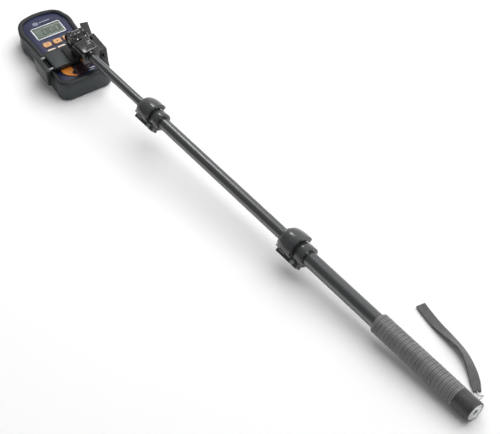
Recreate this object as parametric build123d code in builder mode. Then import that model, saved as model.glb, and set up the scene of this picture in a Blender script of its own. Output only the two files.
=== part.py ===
from build123d import *
import math
import os

# Handheld metal detector: a meter in a rubber boot, held by a spring clamp on a three-section
# telescopic pole. Z is up. The origin is on the meter's resting face, straight below the start of
# the pole's axis, and the pole runs towards +X and down to the ground.

os.makedirs("parts", exist_ok=True)

# Pole tubes: outer radii come from one size, a wall and the space between two tubes.
outer_tube_r = 9.5
tube_wall = 1.0
tube_space = 0.8
running_clearance = 0.05
bush_wall_clearance = 0.05
inner_shown = 115.0
middle_shown = 240.0
outer_shown = 117.0
middle_overlap = 36.0
inner_overlap = 134.0
plug_length = 15.0

# Grip and end cap.
grip_length = 124.0
grip_r = 12.7
grip_groove = 1.1
grip_rib_count = 24
grip_rib_share = 0.7
cap_r = 12.25
cap_length = 24.0
cap_edge_chamfer = 0.6
end_disc_r = 10.6
end_disc_thickness = 2.0
thread_r = 3.175
thread_length = 12.0
insert_r = 6.0
strap_hole_r = 1.0
strap_hole_from_end = 9.0
strap_hole_angle = 20.0

# Lever locks.
lock_length = 41.0
collar_wall = 3.0
clamp_grip_length = 12.0
rim_width = 1.2
rim_length = 10.0
lever_gap = 0.5
lever_wall = 5.5
lever_start = 2.0
lever_length = 25.0
lever_tip_angle = 12.0
lever_tip_r = 5.0
lever_tip_swell = 1.0
hinge_angle = 180.0
hinge_boss_r = 2.6
hinge_boss_clearance = 1.5
hinge_pin_r = 1.25
hinge_lug_length = 10.0
ear_start = 3.5
ear_angle = 218.0
ear_reach = 6.3
ear_thickness = 11.0
ear_length = 35.0
ear_screw_along = 31.0
slit_width = 1.2
lock_screw_r = 1.5
lock_screw_head_r = 2.8
lock_screw_head_height = 2.2
screw_socket_r = 1.05
lock_nut_width = 5.0
lock_nut_height = 2.4
bush_length = 20.0

# Tilt hinge and pan swivel.
tilt_height = 57.0
hinge_along = 7.5
hinge_side = 8.0
pan_angle = 7.3
drum_r = 12.0
drum_width = 8.0
cheek_gap = 0.3
cheek_thickness = 4.0
cheek_r = 12.5
cheek_foot_width = 22.4
swivel_gap = 0.3
swivel_base_r = 14.0
tilt_bolt_r = 3.0
wheel_r = 14.0
wheel_thickness = 6.5
wheel_notches = 18
wheel_notch_r = 1.3
wheel_gap = 0.5
nut_width = 10.0
nut_height = 3.5
pan_screw_r = 3.0
pan_nut_height = 3.0
neck_height = 18.0
block_start = 22.0
block_length = 24.0
block_width = 26.0
block_side = 1.0
block_height = 20.0
block_round = 4.0
head_collar_r = 8.5
head_collar_length = 4.0
socket_depth = 22.0
head_recess_r = 5.5
head_recess_depth = 1.2
head_recess_along = 36.0
head_recess_side = 7.0

# Meter and its rubber boot. Its long axis is local X, with the display end at -X.
meter_length = 166.0
meter_width = 77.0
meter_waist = 72.0
meter_thickness = 30.0
meter_back_x = -31.0
meter_side_y = -6.0
boot_wall = 3.0
boot_floor = 2.6
nose_flat_y = 20.0
nose_flat_in = 3.5
shoulder_x = 22.0
shoulder_in = 3.3
corner_r = 15.0
widest_x = -50.0
widest_in = 0.35
hip_x = -36.0
hip_in = 0.9
lip_overlap = 4.2
lip_height = 2.2
case_gap = 0.1
case_wall = 2.0
rear_case_height = 12.4
label_thickness = 0.3
label_inset = 0.5
display_x = -38.0
display_width = 43.0
display_height = 28.0
bezel_width = 1.4
window_thickness = 1.4
module_thickness = 2.6
button_x = -9.0
button_row_pitch = 16.5
button_pitch = 15.0
button_width = 12.0
button_height = 10.0
button_proud = 1.2
button_gap = 0.3
button_depth = 4.0
button_corner = 1.8
flange_height = 0.6
flange_width = 1.0
dome_r = 3.2
dome_height = 0.6
dial_x = 54.0
dial_y = -4.0
dial_r = 20.0
dial_thickness = 1.2
dial_rib_height = 0.4
dial_rib_width = 9.0
dial_rib_setback = 2.25
dial_shaft_r = 4.0
rotor_r = 11.0
rotor_thickness = 1.0
board_thickness = 1.6
board_inset = 1.0
battery_r = 7.1
battery_length = 50.0
battery_x = 47.0
battery_bay_gap = 0.8
battery_cover_margin = 1.6
coil_r = 22.0
coil_section_r = 3.0
coil_x = -45.0
buzzer_r = 7.0
buzzer_height = 6.0
case_screw_r = 1.4
case_screw_head_r = 2.6
case_screw_head_height = 1.6
case_screw_length = 14.0
lower_post_x = 66.0
lower_post_y = 26.0
upper_post_x = -58.0
upper_post_y = 27.0
case_post_r = 3.6

# Spring clamp round the meter.
clamp_start_x = -17.0
clamp_width = 39.0
clamp_body_thickness = 5.6
clamp_rest_gap = 0.3
jaw_wall = 4.6
jaw_depth = 24.0
jaw_gap = 0.3
pad_thickness = 1.6
pad_margin = 3.0
jaw_flange = 7.0
fixed_jaw_top = 1.2
body_left_y = -37.5
body_right_y = 23.0
rod_r = 1.6
rod_bore_clearance = 0.1
rod_spread = 26.0
rod_length = 48.0
rod_seat = 4.0
spring_r = 1.9
spring_wall = 0.6
spring_length = 30.0
cover_x_length = 34.0
cover_y_length = 21.0
cover_x = 4.5
cover_y = -26.0
cover_round = 1.25
cover_thickness = 1.0
boss_x = 4.0
boss_y = 4.5
boss_x_length = 35.0
boss_y_length = 35.0
boss_round = 5.0
boss_height = 1.7
arm_length = 30.0
arm_width = 11.0
arm_thickness = 3.2
arm_end_round = 1.05
arm_pin_r = 1.3
arm_gap = 0.3
arm_boss_r = 2.6
arm_hinge_x = -9.0
arm_hinge_y = 28.0
arm_splay = 14.0
arm_hub_width = 3.4
arm_lug_width = 2.6

# Wrist strap: doubled webbing lying on the ground, tied to the cap by a thin cord.
webbing_width = 11.5
webbing_thickness = 3.0
webbing_route = [
    (728.2, 27.0),
    (716.5, 35.2),
    (702.0, 43.8),
    (683.5, 51.8),
    (660.0, 55.0),
    (631.5, 57.6),
    (604.0, 64.2),
]
cord_r = 0.7
corner_share = 0.45
cord_route = [
    (744.0, 11.6, 17.0),
    (744.0, 16.6, 18.4),
    (742.6, 21.0, 15.4),
    (739.6, 22.8, 9.6),
    (735.8, 23.2, 4.6),
    (732.0, 24.34, 1.5),
    (728.2, 27.0, 1.5),
]

# Worked-out sizes.
outer_bore_r = outer_tube_r - tube_wall
middle_tube_r = outer_bore_r - tube_space
middle_bore_r = middle_tube_r - tube_wall
inner_tube_r = middle_bore_r - tube_space

head_end = block_start + block_length + head_collar_length
clamp_bottom = meter_thickness + clamp_rest_gap
clamp_top = clamp_bottom + clamp_body_thickness
boss_top = clamp_top + boss_height
upper_lock_front = head_end + inner_shown
upper_lock_back = upper_lock_front + lock_length
lower_lock_front = upper_lock_back + middle_shown
lower_lock_back = lower_lock_front + lock_length
grip_front = lower_lock_back + outer_shown
grip_back = grip_front + grip_length
pole_length = grip_back + cap_length

# The pole leans so that the meter's back and the end cap's rim both stand on the ground.
lean = math.asin(tilt_height / math.hypot(pole_length, cap_r)) - math.atan2(cap_r, pole_length)
pole_direction = Vector(math.cos(lean), 0, -math.sin(lean))
pole_plane = Plane(origin=(0, 0, tilt_height), x_dir=(0, 1, 0), z_dir=pole_direction)
hinge_point = pole_plane.from_local_coords((hinge_side, 0, hinge_along))
side_plane = Plane(origin=hinge_point, x_dir=pole_direction, z_dir=(0, -1, 0))
tilt_plane = Plane(origin=hinge_point, x_dir=(1, 0, 0), z_dir=(0, -1, 0))

pan = math.radians(pan_angle)
clamp_plane = Plane(origin=(0, 0, 0), x_dir=(math.cos(pan), -math.sin(pan), 0), z_dir=(0, 0, 1))
meter_origin = clamp_plane.from_local_coords((meter_back_x, meter_side_y, 0))
meter_plane = clamp_plane.shift_origin(meter_origin)


def save(piece, name):
    piece.part.label = name
    export_step(piece.part, f"parts/{name}.step")


def tube(name, radius, start, end):
    """One tube of the pole, from start to end along it."""
    with BuildPart() as piece:
        with BuildSketch(pole_plane.offset(start)):
            Circle(radius)
            Circle(radius - tube_wall, mode=Mode.SUBTRACT)
        extrude(amount=end - start)
    save(piece, name)


def sleeve(name, outside, inside, start, end):
    """A plain ring of plastic round the pole's axis."""
    with BuildPart() as piece:
        with BuildSketch(pole_plane.offset(start)):
            Circle(outside)
            Circle(inside, mode=Mode.SUBTRACT)
        extrude(amount=end - start)
    save(piece, name)


# Tubes. Each has a plug at its hidden end that slides in the next tube, and a bush in the
# mouth of the next tube guides it there.
clamped = lock_length - clamp_grip_length
inner_start = head_end - head_collar_length - socket_depth
middle_start = upper_lock_front + clamp_grip_length
outer_start = lower_lock_front + clamp_grip_length
inner_end = middle_start + bush_length + inner_overlap
middle_end = outer_start + middle_overlap
outer_end = pole_length - end_disc_thickness - thread_length

tube("inner_tube", inner_tube_r, inner_start, inner_end)
tube("middle_tube", middle_tube_r, middle_start, middle_end)
tube("outer_tube", outer_tube_r, outer_start, outer_end)


def plug(name, tube_r, wall_r, end):
    """A plug pressed into a tube's end, with a shoulder that runs in the wider tube."""
    with BuildPart() as piece:
        with BuildSketch(pole_plane.offset(end - plug_length)):
            Circle(tube_r - tube_wall)
            Circle(tube_r - 2 * tube_wall, mode=Mode.SUBTRACT)
        extrude(amount=plug_length)
        with BuildSketch(pole_plane.offset(end)):
            Circle(wall_r - bush_wall_clearance)
            Circle(tube_r - 2 * tube_wall, mode=Mode.SUBTRACT)
        extrude(amount=plug_length / 3)
    save(piece, name)


plug("inner_plug", inner_tube_r, middle_bore_r, inner_end)
plug("middle_plug", middle_tube_r, outer_bore_r, middle_end)
sleeve(
    "upper_bush", middle_bore_r, inner_tube_r + running_clearance, middle_start, middle_start + bush_length
)
sleeve(
    "lower_bush", outer_bore_r, middle_tube_r + running_clearance, outer_start, outer_start + bush_length
)


# Ribbed grip and the end of the handle.
rib_pitch = grip_length / grip_rib_count
with BuildPart() as grip_sleeve:
    with BuildSketch(pole_plane.offset(grip_front)):
        Circle(grip_r - grip_groove)
        Circle(outer_tube_r, mode=Mode.SUBTRACT)
    extrude(amount=grip_length)
    for rib in range(grip_rib_count):
        with BuildSketch(pole_plane.offset(grip_front + rib * rib_pitch)):
            Circle(grip_r)
            Circle(outer_tube_r, mode=Mode.SUBTRACT)
        extrude(amount=rib_pitch * grip_rib_share)
save(grip_sleeve, "grip_sleeve")

disc_start = pole_length - end_disc_thickness
with BuildPart() as end_cap:
    with BuildSketch(pole_plane.offset(grip_back)):
        Circle(cap_r)
    extrude(amount=cap_length)
    chamfer(end_cap.faces().sort_by(Axis(pole_plane.origin, pole_direction))[-1].edges(), cap_edge_chamfer)
    with BuildSketch(pole_plane.offset(grip_back)):
        Circle(outer_tube_r)
    extrude(amount=outer_end - grip_back, mode=Mode.SUBTRACT)
    with BuildSketch(pole_plane.offset(outer_end)):
        Circle(insert_r)
    extrude(amount=thread_length, mode=Mode.SUBTRACT)
    with BuildSketch(pole_plane.offset(disc_start)):
        Circle(end_disc_r)
    extrude(amount=end_disc_thickness, mode=Mode.SUBTRACT)
    hole_turn = math.radians(strap_hole_angle)
    hole_axis = pole_plane.x_dir * math.cos(hole_turn) + pole_plane.y_dir * math.sin(hole_turn)
    hole_origin = pole_plane.from_local_coords((0, 0, pole_length - strap_hole_from_end))
    with BuildSketch(Plane(origin=hole_origin + hole_axis * insert_r, z_dir=hole_axis)):
        Circle(strap_hole_r)
    extrude(amount=cap_r, mode=Mode.SUBTRACT)
save(end_cap, "end_cap")

with BuildPart() as end_insert:
    with BuildSketch(pole_plane.offset(disc_start)):
        Circle(end_disc_r)
    extrude(amount=end_disc_thickness)
    with BuildSketch(pole_plane.offset(outer_end)):
        Circle(insert_r)
    extrude(amount=thread_length)
    with BuildSketch(pole_plane.offset(outer_end)):
        Circle(thread_r)
    extrude(amount=thread_length + end_disc_thickness, mode=Mode.SUBTRACT)
save(end_insert, "end_insert")


# Lever locks: a split collar, clamped by a lever that wraps over it and turns on a pin.
lug_start = lever_start + (lever_length - hinge_lug_length) / 2


def round_collar(lock_plane, angle, radius, height):
    """The plane whose Z runs round the collar at that angle, towards the lever."""
    turn = math.radians(angle)
    centre = Vector(radius * math.cos(turn), radius * math.sin(turn), height)
    towards = Vector(math.sin(turn), -math.cos(turn), 0)
    origin = lock_plane.from_local_coords(centre)
    ahead = lock_plane.from_local_coords(centre + towards) - origin
    return Plane(origin=origin, x_dir=lock_plane.z_dir, z_dir=ahead)


def lever_lock(which, front, big_r, small_r):
    """The pieces of one lock, whose front end is at front along the pole."""
    lock_plane = pole_plane.offset(front)
    collar_r = big_r + collar_wall
    hinge_r = collar_r + hinge_boss_r + lever_gap
    lever_inner_r = collar_r + lever_gap
    lever_outer_r = lever_inner_r + lever_wall
    ear_end_r = collar_r + ear_reach
    ear_screw_r = collar_r + ear_reach / 2
    with BuildPart() as collar:
        with BuildSketch(lock_plane):
            Circle(collar_r)
        extrude(amount=lock_length)
        with BuildSketch(lock_plane.offset(lock_length - rim_length)):
            Circle(collar_r + rim_width)
        extrude(amount=rim_length)
        with BuildSketch(lock_plane.offset(ear_start)):
            with PolarLocations(ear_end_r / 2 + collar_r / 2 - collar_wall / 2, 1, start_angle=ear_angle):
                Rectangle(ear_reach + collar_wall, ear_thickness)
        extrude(amount=ear_length)
        with BuildSketch(lock_plane.offset(lug_start)):
            with PolarLocations(hinge_r, 1, start_angle=hinge_angle):
                Circle(hinge_boss_r)
            with PolarLocations(hinge_r / 2 + collar_r / 2 - collar_wall / 2, 1, start_angle=hinge_angle):
                Rectangle(hinge_r - collar_r + collar_wall, 2 * hinge_boss_r)
        extrude(amount=hinge_lug_length)
        with BuildSketch(lock_plane):
            Circle(small_r + running_clearance)
        extrude(amount=lock_length, mode=Mode.SUBTRACT)
        with BuildSketch(lock_plane.offset(clamp_grip_length)):
            Circle(big_r)
        extrude(amount=clamped, mode=Mode.SUBTRACT)
        with BuildSketch(lock_plane):
            with PolarLocations(ear_end_r / 2 + small_r / 2, 1, start_angle=ear_angle):
                Rectangle(ear_end_r - small_r + 2 * slit_width, slit_width)
        extrude(amount=lock_length, mode=Mode.SUBTRACT)
        with BuildSketch(lock_plane.offset(lug_start)):
            with PolarLocations(hinge_r, 1, start_angle=hinge_angle):
                Circle(hinge_pin_r)
        extrude(amount=hinge_lug_length, mode=Mode.SUBTRACT)
        with BuildSketch(round_collar(lock_plane, ear_angle, ear_screw_r, ear_screw_along)):
            Circle(lock_screw_r)
        extrude(amount=ear_thickness, both=True, mode=Mode.SUBTRACT)
    save(collar, f"{which}_collar")

    with BuildPart() as lever:
        with BuildSketch(lock_plane.offset(lever_start)):
            with BuildLine():
                CenterArc((0, 0), lever_outer_r, lever_tip_angle, hinge_angle - lever_tip_angle)
                Line((-lever_outer_r, 0), (-lever_inner_r, 0))
                CenterArc((0, 0), lever_inner_r, lever_tip_angle, hinge_angle - lever_tip_angle)
                tip = math.radians(lever_tip_angle)
                Line(
                    (lever_inner_r * math.cos(tip), lever_inner_r * math.sin(tip)),
                    (lever_outer_r * math.cos(tip), lever_outer_r * math.sin(tip)),
                )
            make_face()
            with PolarLocations(hinge_r, 1, start_angle=hinge_angle):
                Circle(hinge_boss_r)
            with PolarLocations(lever_inner_r + lever_wall / 2, 1, start_angle=lever_tip_angle):
                Ellipse(lever_wall / 2 + lever_tip_swell, lever_tip_r)
            Circle(lever_inner_r, mode=Mode.SUBTRACT)
            with PolarLocations(hinge_r, 1, start_angle=hinge_angle):
                Circle(hinge_pin_r + running_clearance, mode=Mode.SUBTRACT)
        extrude(amount=lever_length)
        with BuildSketch(lock_plane.offset(lug_start - lever_gap)):
            with PolarLocations(hinge_r, 1, start_angle=hinge_angle):
                Circle(hinge_boss_r + hinge_boss_clearance)
        extrude(amount=hinge_lug_length + 2 * lever_gap, mode=Mode.SUBTRACT)
    save(lever, f"{which}_lever")

    with BuildPart() as pin:
        with BuildSketch(lock_plane.offset(lever_start)):
            with PolarLocations(hinge_r, 1, start_angle=hinge_angle):
                Circle(hinge_pin_r)
        extrude(amount=lever_length)
    save(pin, f"{which}_hinge_pin")

    ear_face = round_collar(lock_plane, ear_angle, ear_screw_r, ear_screw_along).offset(ear_thickness / 2)
    with BuildPart() as screw:
        with BuildSketch(ear_face):
            Circle(lock_screw_head_r)
        extrude(amount=lock_screw_head_height)
        with BuildSketch(ear_face):
            Circle(lock_screw_r)
        extrude(amount=-(ear_thickness + lock_nut_height))
        with BuildSketch(ear_face.offset(lock_screw_head_height)):
            RegularPolygon(screw_socket_r, 6)
        extrude(amount=-lock_screw_head_height / 2, mode=Mode.SUBTRACT)
    save(screw, f"{which}_lock_screw")

    with BuildPart() as nut:
        with BuildSketch(ear_face.offset(-ear_thickness)):
            RegularPolygon(lock_nut_width / 2, 6, major_radius=False)
            Circle(lock_screw_r, mode=Mode.SUBTRACT)
        extrude(amount=-lock_nut_height)
    save(nut, f"{which}_lock_nut")


lever_lock("upper", upper_lock_front, middle_tube_r, inner_tube_r)
lever_lock("lower", lower_lock_front, outer_tube_r, middle_tube_r)


# Pole head: a drum between the swivel's cheeks, a neck, and a block that holds the inner tube.
block_end = block_start + block_length
with BuildPart() as pole_head:
    with BuildSketch(side_plane):
        Circle(drum_r)
        with Locations(((block_start - hinge_along) / 2, 0)):
            Rectangle(block_start - hinge_along, neck_height)
    extrude(amount=drum_width / 2, both=True)
    with BuildSketch(pole_plane.offset(block_start)):
        with Locations((block_side, 0)):
            RectangleRounded(block_width, block_height, block_round)
    extrude(amount=block_length)
    with BuildSketch(pole_plane.offset(block_end)):
        Circle(head_collar_r)
    extrude(amount=head_collar_length)
    with BuildSketch(pole_plane.offset(inner_start)):
        Circle(inner_tube_r)
    extrude(amount=head_end - inner_start, mode=Mode.SUBTRACT)
    with BuildSketch(side_plane):
        Circle(tilt_bolt_r + running_clearance)
    extrude(amount=block_width, both=True, mode=Mode.SUBTRACT)
    block_top = Plane(
        origin=pole_plane.from_local_coords((head_recess_side, block_height / 2, head_recess_along)),
        x_dir=pole_direction,
        z_dir=pole_plane.y_dir,
    )
    with BuildSketch(block_top):
        Circle(head_recess_r)
    extrude(amount=-head_recess_depth, mode=Mode.SUBTRACT)
save(pole_head, "pole_head")


# Swivel: a base that pans on the clamp's boss and two cheeks that hold the drum.
swivel_bottom = boss_top + swivel_gap
cheek_inner = drum_width / 2 + cheek_gap
cheek_outer = cheek_inner + cheek_thickness
base_top = hinge_point.Z - wheel_r - wheel_gap
pan_centre = (hinge_point.X, hinge_point.Y)
with BuildPart() as swivel_fork:
    with BuildSketch(Plane.XY.offset(swivel_bottom)):
        with Locations(pan_centre):
            Circle(swivel_base_r)
    extrude(amount=base_top - swivel_bottom)
    for side in (-1, 1):
        with BuildSketch(tilt_plane.offset(side * (cheek_inner + cheek_outer) / 2)):
            Circle(cheek_r)
            with Locations((0, (swivel_bottom - hinge_point.Z) / 2)):
                Rectangle(cheek_foot_width, hinge_point.Z - swivel_bottom)
        extrude(amount=cheek_thickness / 2, both=True)
    with BuildSketch(tilt_plane):
        Circle(tilt_bolt_r + running_clearance)
    extrude(amount=2 * cheek_outer, both=True, mode=Mode.SUBTRACT)
    with BuildSketch(Plane.XY.offset(swivel_bottom)):
        with Locations(pan_centre):
            Circle(pan_screw_r)
    extrude(amount=base_top - swivel_bottom, mode=Mode.SUBTRACT)
save(swivel_fork, "swivel_fork")


# Tilt knob: a notched wheel on the left, whose bolt crosses the hinge to a nut on the right.
wheel_start = cheek_outer + cheek_gap
with BuildPart() as thumb_wheel:
    with BuildSketch(tilt_plane.offset(wheel_start)):
        Circle(wheel_r)
        Circle(tilt_bolt_r, mode=Mode.SUBTRACT)
        with PolarLocations(wheel_r, wheel_notches):
            Circle(wheel_notch_r, mode=Mode.SUBTRACT)
    extrude(amount=wheel_thickness)
save(thumb_wheel, "thumb_wheel")

with BuildPart() as tilt_bolt:
    with BuildSketch(tilt_plane.offset(wheel_start + wheel_thickness)):
        Circle(tilt_bolt_r)
    extrude(amount=-(wheel_start + wheel_thickness + cheek_outer + nut_height))
save(tilt_bolt, "tilt_bolt")

with BuildPart() as tilt_nut:
    with BuildSketch(tilt_plane.offset(-cheek_outer)):
        RegularPolygon(nut_width / 2, 6, major_radius=False)
        Circle(tilt_bolt_r + running_clearance, mode=Mode.SUBTRACT)
    extrude(amount=-nut_height)
save(tilt_nut, "tilt_nut")


# Clamp body, in the clamp's own directions: X along the meter, Y across it.
clamp_middle_x = clamp_start_x + clamp_width / 2
rod_height = clamp_bottom + clamp_body_thickness / 2
rod_start_y = meter_side_y - meter_width / 2 - jaw_gap - pad_thickness - jaw_wall + rod_seat / 2
fixed_face_y = meter_side_y + meter_width / 2 + jaw_gap
moving_face_y = meter_side_y - meter_width / 2 - jaw_gap
across_plane = Plane(
    origin=clamp_plane.from_local_coords((clamp_middle_x, 0, rod_height)),
    x_dir=clamp_plane.x_dir,
    z_dir=clamp_plane.y_dir,
)
pan_place = clamp_plane.to_local_coords(Vector(*pan_centre, 0))
with BuildPart() as clamp_body:
    with BuildSketch(clamp_plane.offset(clamp_bottom)):
        with Locations((clamp_middle_x, (body_left_y + body_right_y) / 2)):
            Rectangle(clamp_width, body_right_y - body_left_y)
    extrude(amount=clamp_body_thickness)
    with BuildSketch(clamp_plane.offset(clamp_top)):
        with Locations((boss_x, boss_y)):
            RectangleRounded(boss_x_length, boss_y_length, boss_round)
    extrude(amount=boss_height)
    with BuildSketch(across_plane.offset(body_left_y)):
        for side in (-1, 1):
            with Locations((side * rod_spread / 2, 0)):
                Circle(rod_r + rod_bore_clearance)
    extrude(amount=rod_start_y + rod_length + rod_seat - body_left_y, mode=Mode.SUBTRACT)
    with BuildSketch(across_plane.offset(body_left_y)):
        Circle(spring_r)
    extrude(amount=spring_length, mode=Mode.SUBTRACT)
    with BuildSketch(clamp_plane.offset(clamp_bottom)):
        with Locations((pan_place.X, pan_place.Y)):
            Circle(pan_screw_r)
    extrude(amount=boss_top - clamp_bottom, mode=Mode.SUBTRACT)
    with BuildSketch(clamp_plane.offset(clamp_bottom)):
        with Locations((pan_place.X, pan_place.Y)):
            RegularPolygon(nut_width / 2, 6, major_radius=False)
    extrude(amount=pan_nut_height, mode=Mode.SUBTRACT)
save(clamp_body, "clamp_body")

with BuildPart() as pan_nut:
    with BuildSketch(clamp_plane.offset(clamp_bottom)):
        with Locations((pan_place.X, pan_place.Y)):
            RegularPolygon(nut_width / 2, 6, major_radius=False)
            Circle(pan_screw_r + running_clearance, mode=Mode.SUBTRACT)
    extrude(amount=pan_nut_height)
save(pan_nut, "pan_nut")

with BuildPart() as pan_screw:
    with BuildSketch(Plane.XY.offset(base_top)):
        with Locations(pan_centre):
            Circle(pan_screw_r - running_clearance)
    extrude(amount=-(base_top - clamp_bottom))
save(pan_screw, "pan_screw")

with BuildPart() as clamp_cover:
    with BuildSketch(clamp_plane.offset(clamp_top)):
        with Locations((cover_x, cover_y)):
            RectangleRounded(cover_x_length, cover_y_length, cover_round)
    extrude(amount=cover_thickness)
save(clamp_cover, "clamp_cover")

with BuildPart() as jaw_spring:
    with BuildSketch(across_plane.offset(body_left_y)):
        Circle(spring_r)
        Circle(spring_r - spring_wall, mode=Mode.SUBTRACT)
    extrude(amount=spring_length)
save(jaw_spring, "jaw_spring")

# Fixed jaw on the right, with two lugs for the locking arm.
jaw_bottom = clamp_top - clamp_body_thickness - jaw_depth + 2 * pad_margin
arm_height = clamp_top + fixed_jaw_top + arm_boss_r + arm_gap
splay = math.radians(arm_splay)
arm_plane = Plane(
    origin=clamp_plane.from_local_coords((arm_hinge_x, arm_hinge_y, arm_height)),
    x_dir=clamp_plane.x_dir * math.cos(splay) - clamp_plane.y_dir * math.sin(splay),
    z_dir=-(clamp_plane.x_dir * math.sin(splay) + clamp_plane.y_dir * math.cos(splay)),
)
lug_inner = arm_hub_width / 2 + arm_gap
lug_outer = lug_inner + arm_lug_width
jaw_top_width = fixed_face_y + pad_thickness + jaw_wall - body_right_y
with BuildPart() as fixed_jaw:
    with BuildSketch(clamp_plane.offset(clamp_bottom)):
        with Locations((clamp_middle_x, body_right_y + jaw_top_width / 2)):
            Rectangle(clamp_width, jaw_top_width)
    extrude(amount=clamp_body_thickness + fixed_jaw_top)
    with BuildSketch(clamp_plane.offset(jaw_bottom)):
        with Locations((clamp_middle_x, fixed_face_y + pad_thickness + jaw_wall / 2)):
            Rectangle(clamp_width, jaw_wall)
    extrude(amount=clamp_bottom - jaw_bottom)
    for side in (-1, 1):
        with BuildSketch(arm_plane.offset(side * (lug_inner + lug_outer) / 2)):
            Circle(arm_boss_r)
            with Locations((0, -arm_boss_r)):
                Rectangle(2 * arm_boss_r, 2 * arm_boss_r)
            Circle(arm_pin_r, mode=Mode.SUBTRACT)
        extrude(amount=(lug_outer - lug_inner) / 2, both=True)
save(fixed_jaw, "fixed_jaw")

with BuildPart() as arm_pin:
    with BuildSketch(arm_plane):
        Circle(arm_pin_r)
    extrude(amount=lug_outer, both=True)
save(arm_pin, "arm_pin")

with BuildPart() as locking_arm:
    with BuildSketch(arm_plane):
        Circle(arm_boss_r)
        with Locations((-arm_length / 4, 0)):
            Rectangle(arm_length / 2, arm_thickness)
        Circle(arm_pin_r + running_clearance, mode=Mode.SUBTRACT)
    extrude(amount=arm_hub_width / 2, both=True)
    with BuildSketch(arm_plane):
        with Locations((-arm_boss_r - arm_gap - arm_length / 2, 0)):
            RectangleRounded(arm_length, arm_thickness, arm_end_round)
    extrude(amount=arm_width / 2, both=True)
save(locking_arm, "locking_arm")


def pad(name, face_y):
    """A rubber pad between a jaw and the boot, from face_y outwards."""
    with BuildPart() as piece:
        with BuildSketch(clamp_plane.offset(jaw_bottom + pad_margin)):
            with Locations((clamp_middle_x, face_y)):
                Rectangle(clamp_width - 2 * pad_margin, pad_thickness)
        extrude(amount=clamp_bottom - jaw_bottom - 2 * pad_margin)
    save(piece, name)


pad("fixed_pad", fixed_face_y + pad_thickness / 2)
pad("moving_pad", moving_face_y - pad_thickness / 2)

jaw_outer_y = moving_face_y - pad_thickness - jaw_wall
with BuildPart() as moving_jaw:
    with BuildSketch(clamp_plane.offset(clamp_bottom)):
        with Locations((clamp_middle_x, jaw_outer_y + jaw_flange / 2)):
            Rectangle(clamp_width, jaw_flange)
    extrude(amount=clamp_body_thickness)
    with BuildSketch(clamp_plane.offset(jaw_bottom)):
        with Locations((clamp_middle_x, jaw_outer_y + jaw_wall / 2)):
            Rectangle(clamp_width, jaw_wall)
    extrude(amount=clamp_bottom - jaw_bottom)
    with BuildSketch(across_plane.offset(rod_start_y)):
        for side in (-1, 1):
            with Locations((side * rod_spread / 2, 0)):
                Circle(rod_r)
    extrude(amount=jaw_flange, mode=Mode.SUBTRACT)
save(moving_jaw, "moving_jaw")

with BuildPart() as guide_rods:
    with BuildSketch(across_plane.offset(rod_start_y)):
        for side in (-1, 1):
            with Locations((side * rod_spread / 2, 0)):
                Circle(rod_r)
    extrude(amount=rod_length)
save(guide_rods, "guide_rods")


# Meter. Every shell follows one outline, set in by its own distance.
half_length = meter_length / 2
half_width = meter_width / 2
corner_in = corner_r * (1 - math.sqrt(0.5))
nose_flat_mid_in = nose_flat_in / 4


def outline(inset):
    with BuildSketch() as shape:
        with BuildLine() as edge:
            nose = ThreePointArc(
                (-half_length, 0),
                (nose_flat_mid_in - half_length, nose_flat_y / 2),
                (nose_flat_in - half_length, nose_flat_y),
            )
            TangentArc(nose @ 1, (shoulder_x - half_length, half_width - shoulder_in), tangent=nose % 1)
            ThreePointArc(
                (shoulder_x - half_length, half_width - shoulder_in),
                (widest_x, half_width - widest_in),
                (hip_x, half_width - hip_in),
            )
            ThreePointArc(
                (hip_x, half_width - hip_in),
                ((half_length - corner_r + hip_x) / 2, meter_waist / 2),
                (half_length - corner_r, half_width),
            )
            ThreePointArc(
                (half_length - corner_r, half_width),
                (half_length - corner_in, half_width - corner_in),
                (half_length, half_width - corner_r),
            )
            Line((half_length, half_width - corner_r), (half_length, 0))
            mirror(edge.line, about=Plane.XZ)
        make_face()
        if inset:
            offset(amount=-inset)
    return shape.sketch_local


shell_inset = boot_wall + case_gap
face_top = meter_thickness - lip_height - case_gap
label_top = face_top + label_thickness
rear_bottom = boot_floor + case_gap
split_height = rear_bottom + rear_case_height
inner_top = face_top - case_wall
board_top = inner_top - module_thickness
board_bottom = board_top - board_thickness
posts = [
    (upper_post_x, -upper_post_y),
    (upper_post_x, upper_post_y),
    (lower_post_x, -lower_post_y),
    (lower_post_x, lower_post_y),
]
buttons = [
    (button_x + row * button_row_pitch, column * button_pitch)
    for row in range(2)
    for column in (-1, 0, 1)
]
battery_height = rear_bottom + case_wall + battery_bay_gap + battery_r
battery_y = battery_r + battery_bay_gap


def layer(inset, bottom, height, mode=Mode.ADD):
    """Extrude the meter's outline, set in, as one layer of the part being built."""
    with BuildSketch(meter_plane.offset(bottom)) as profile:
        add(outline(inset))
    extrude(profile.sketch, amount=height, mode=mode)


with BuildPart() as boot:
    layer(0, 0, meter_thickness)
    layer(boot_wall, boot_floor, meter_thickness - lip_height - boot_floor, Mode.SUBTRACT)
    layer(boot_wall + lip_overlap, meter_thickness - lip_height, lip_height, Mode.SUBTRACT)
save(boot, "boot")

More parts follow.
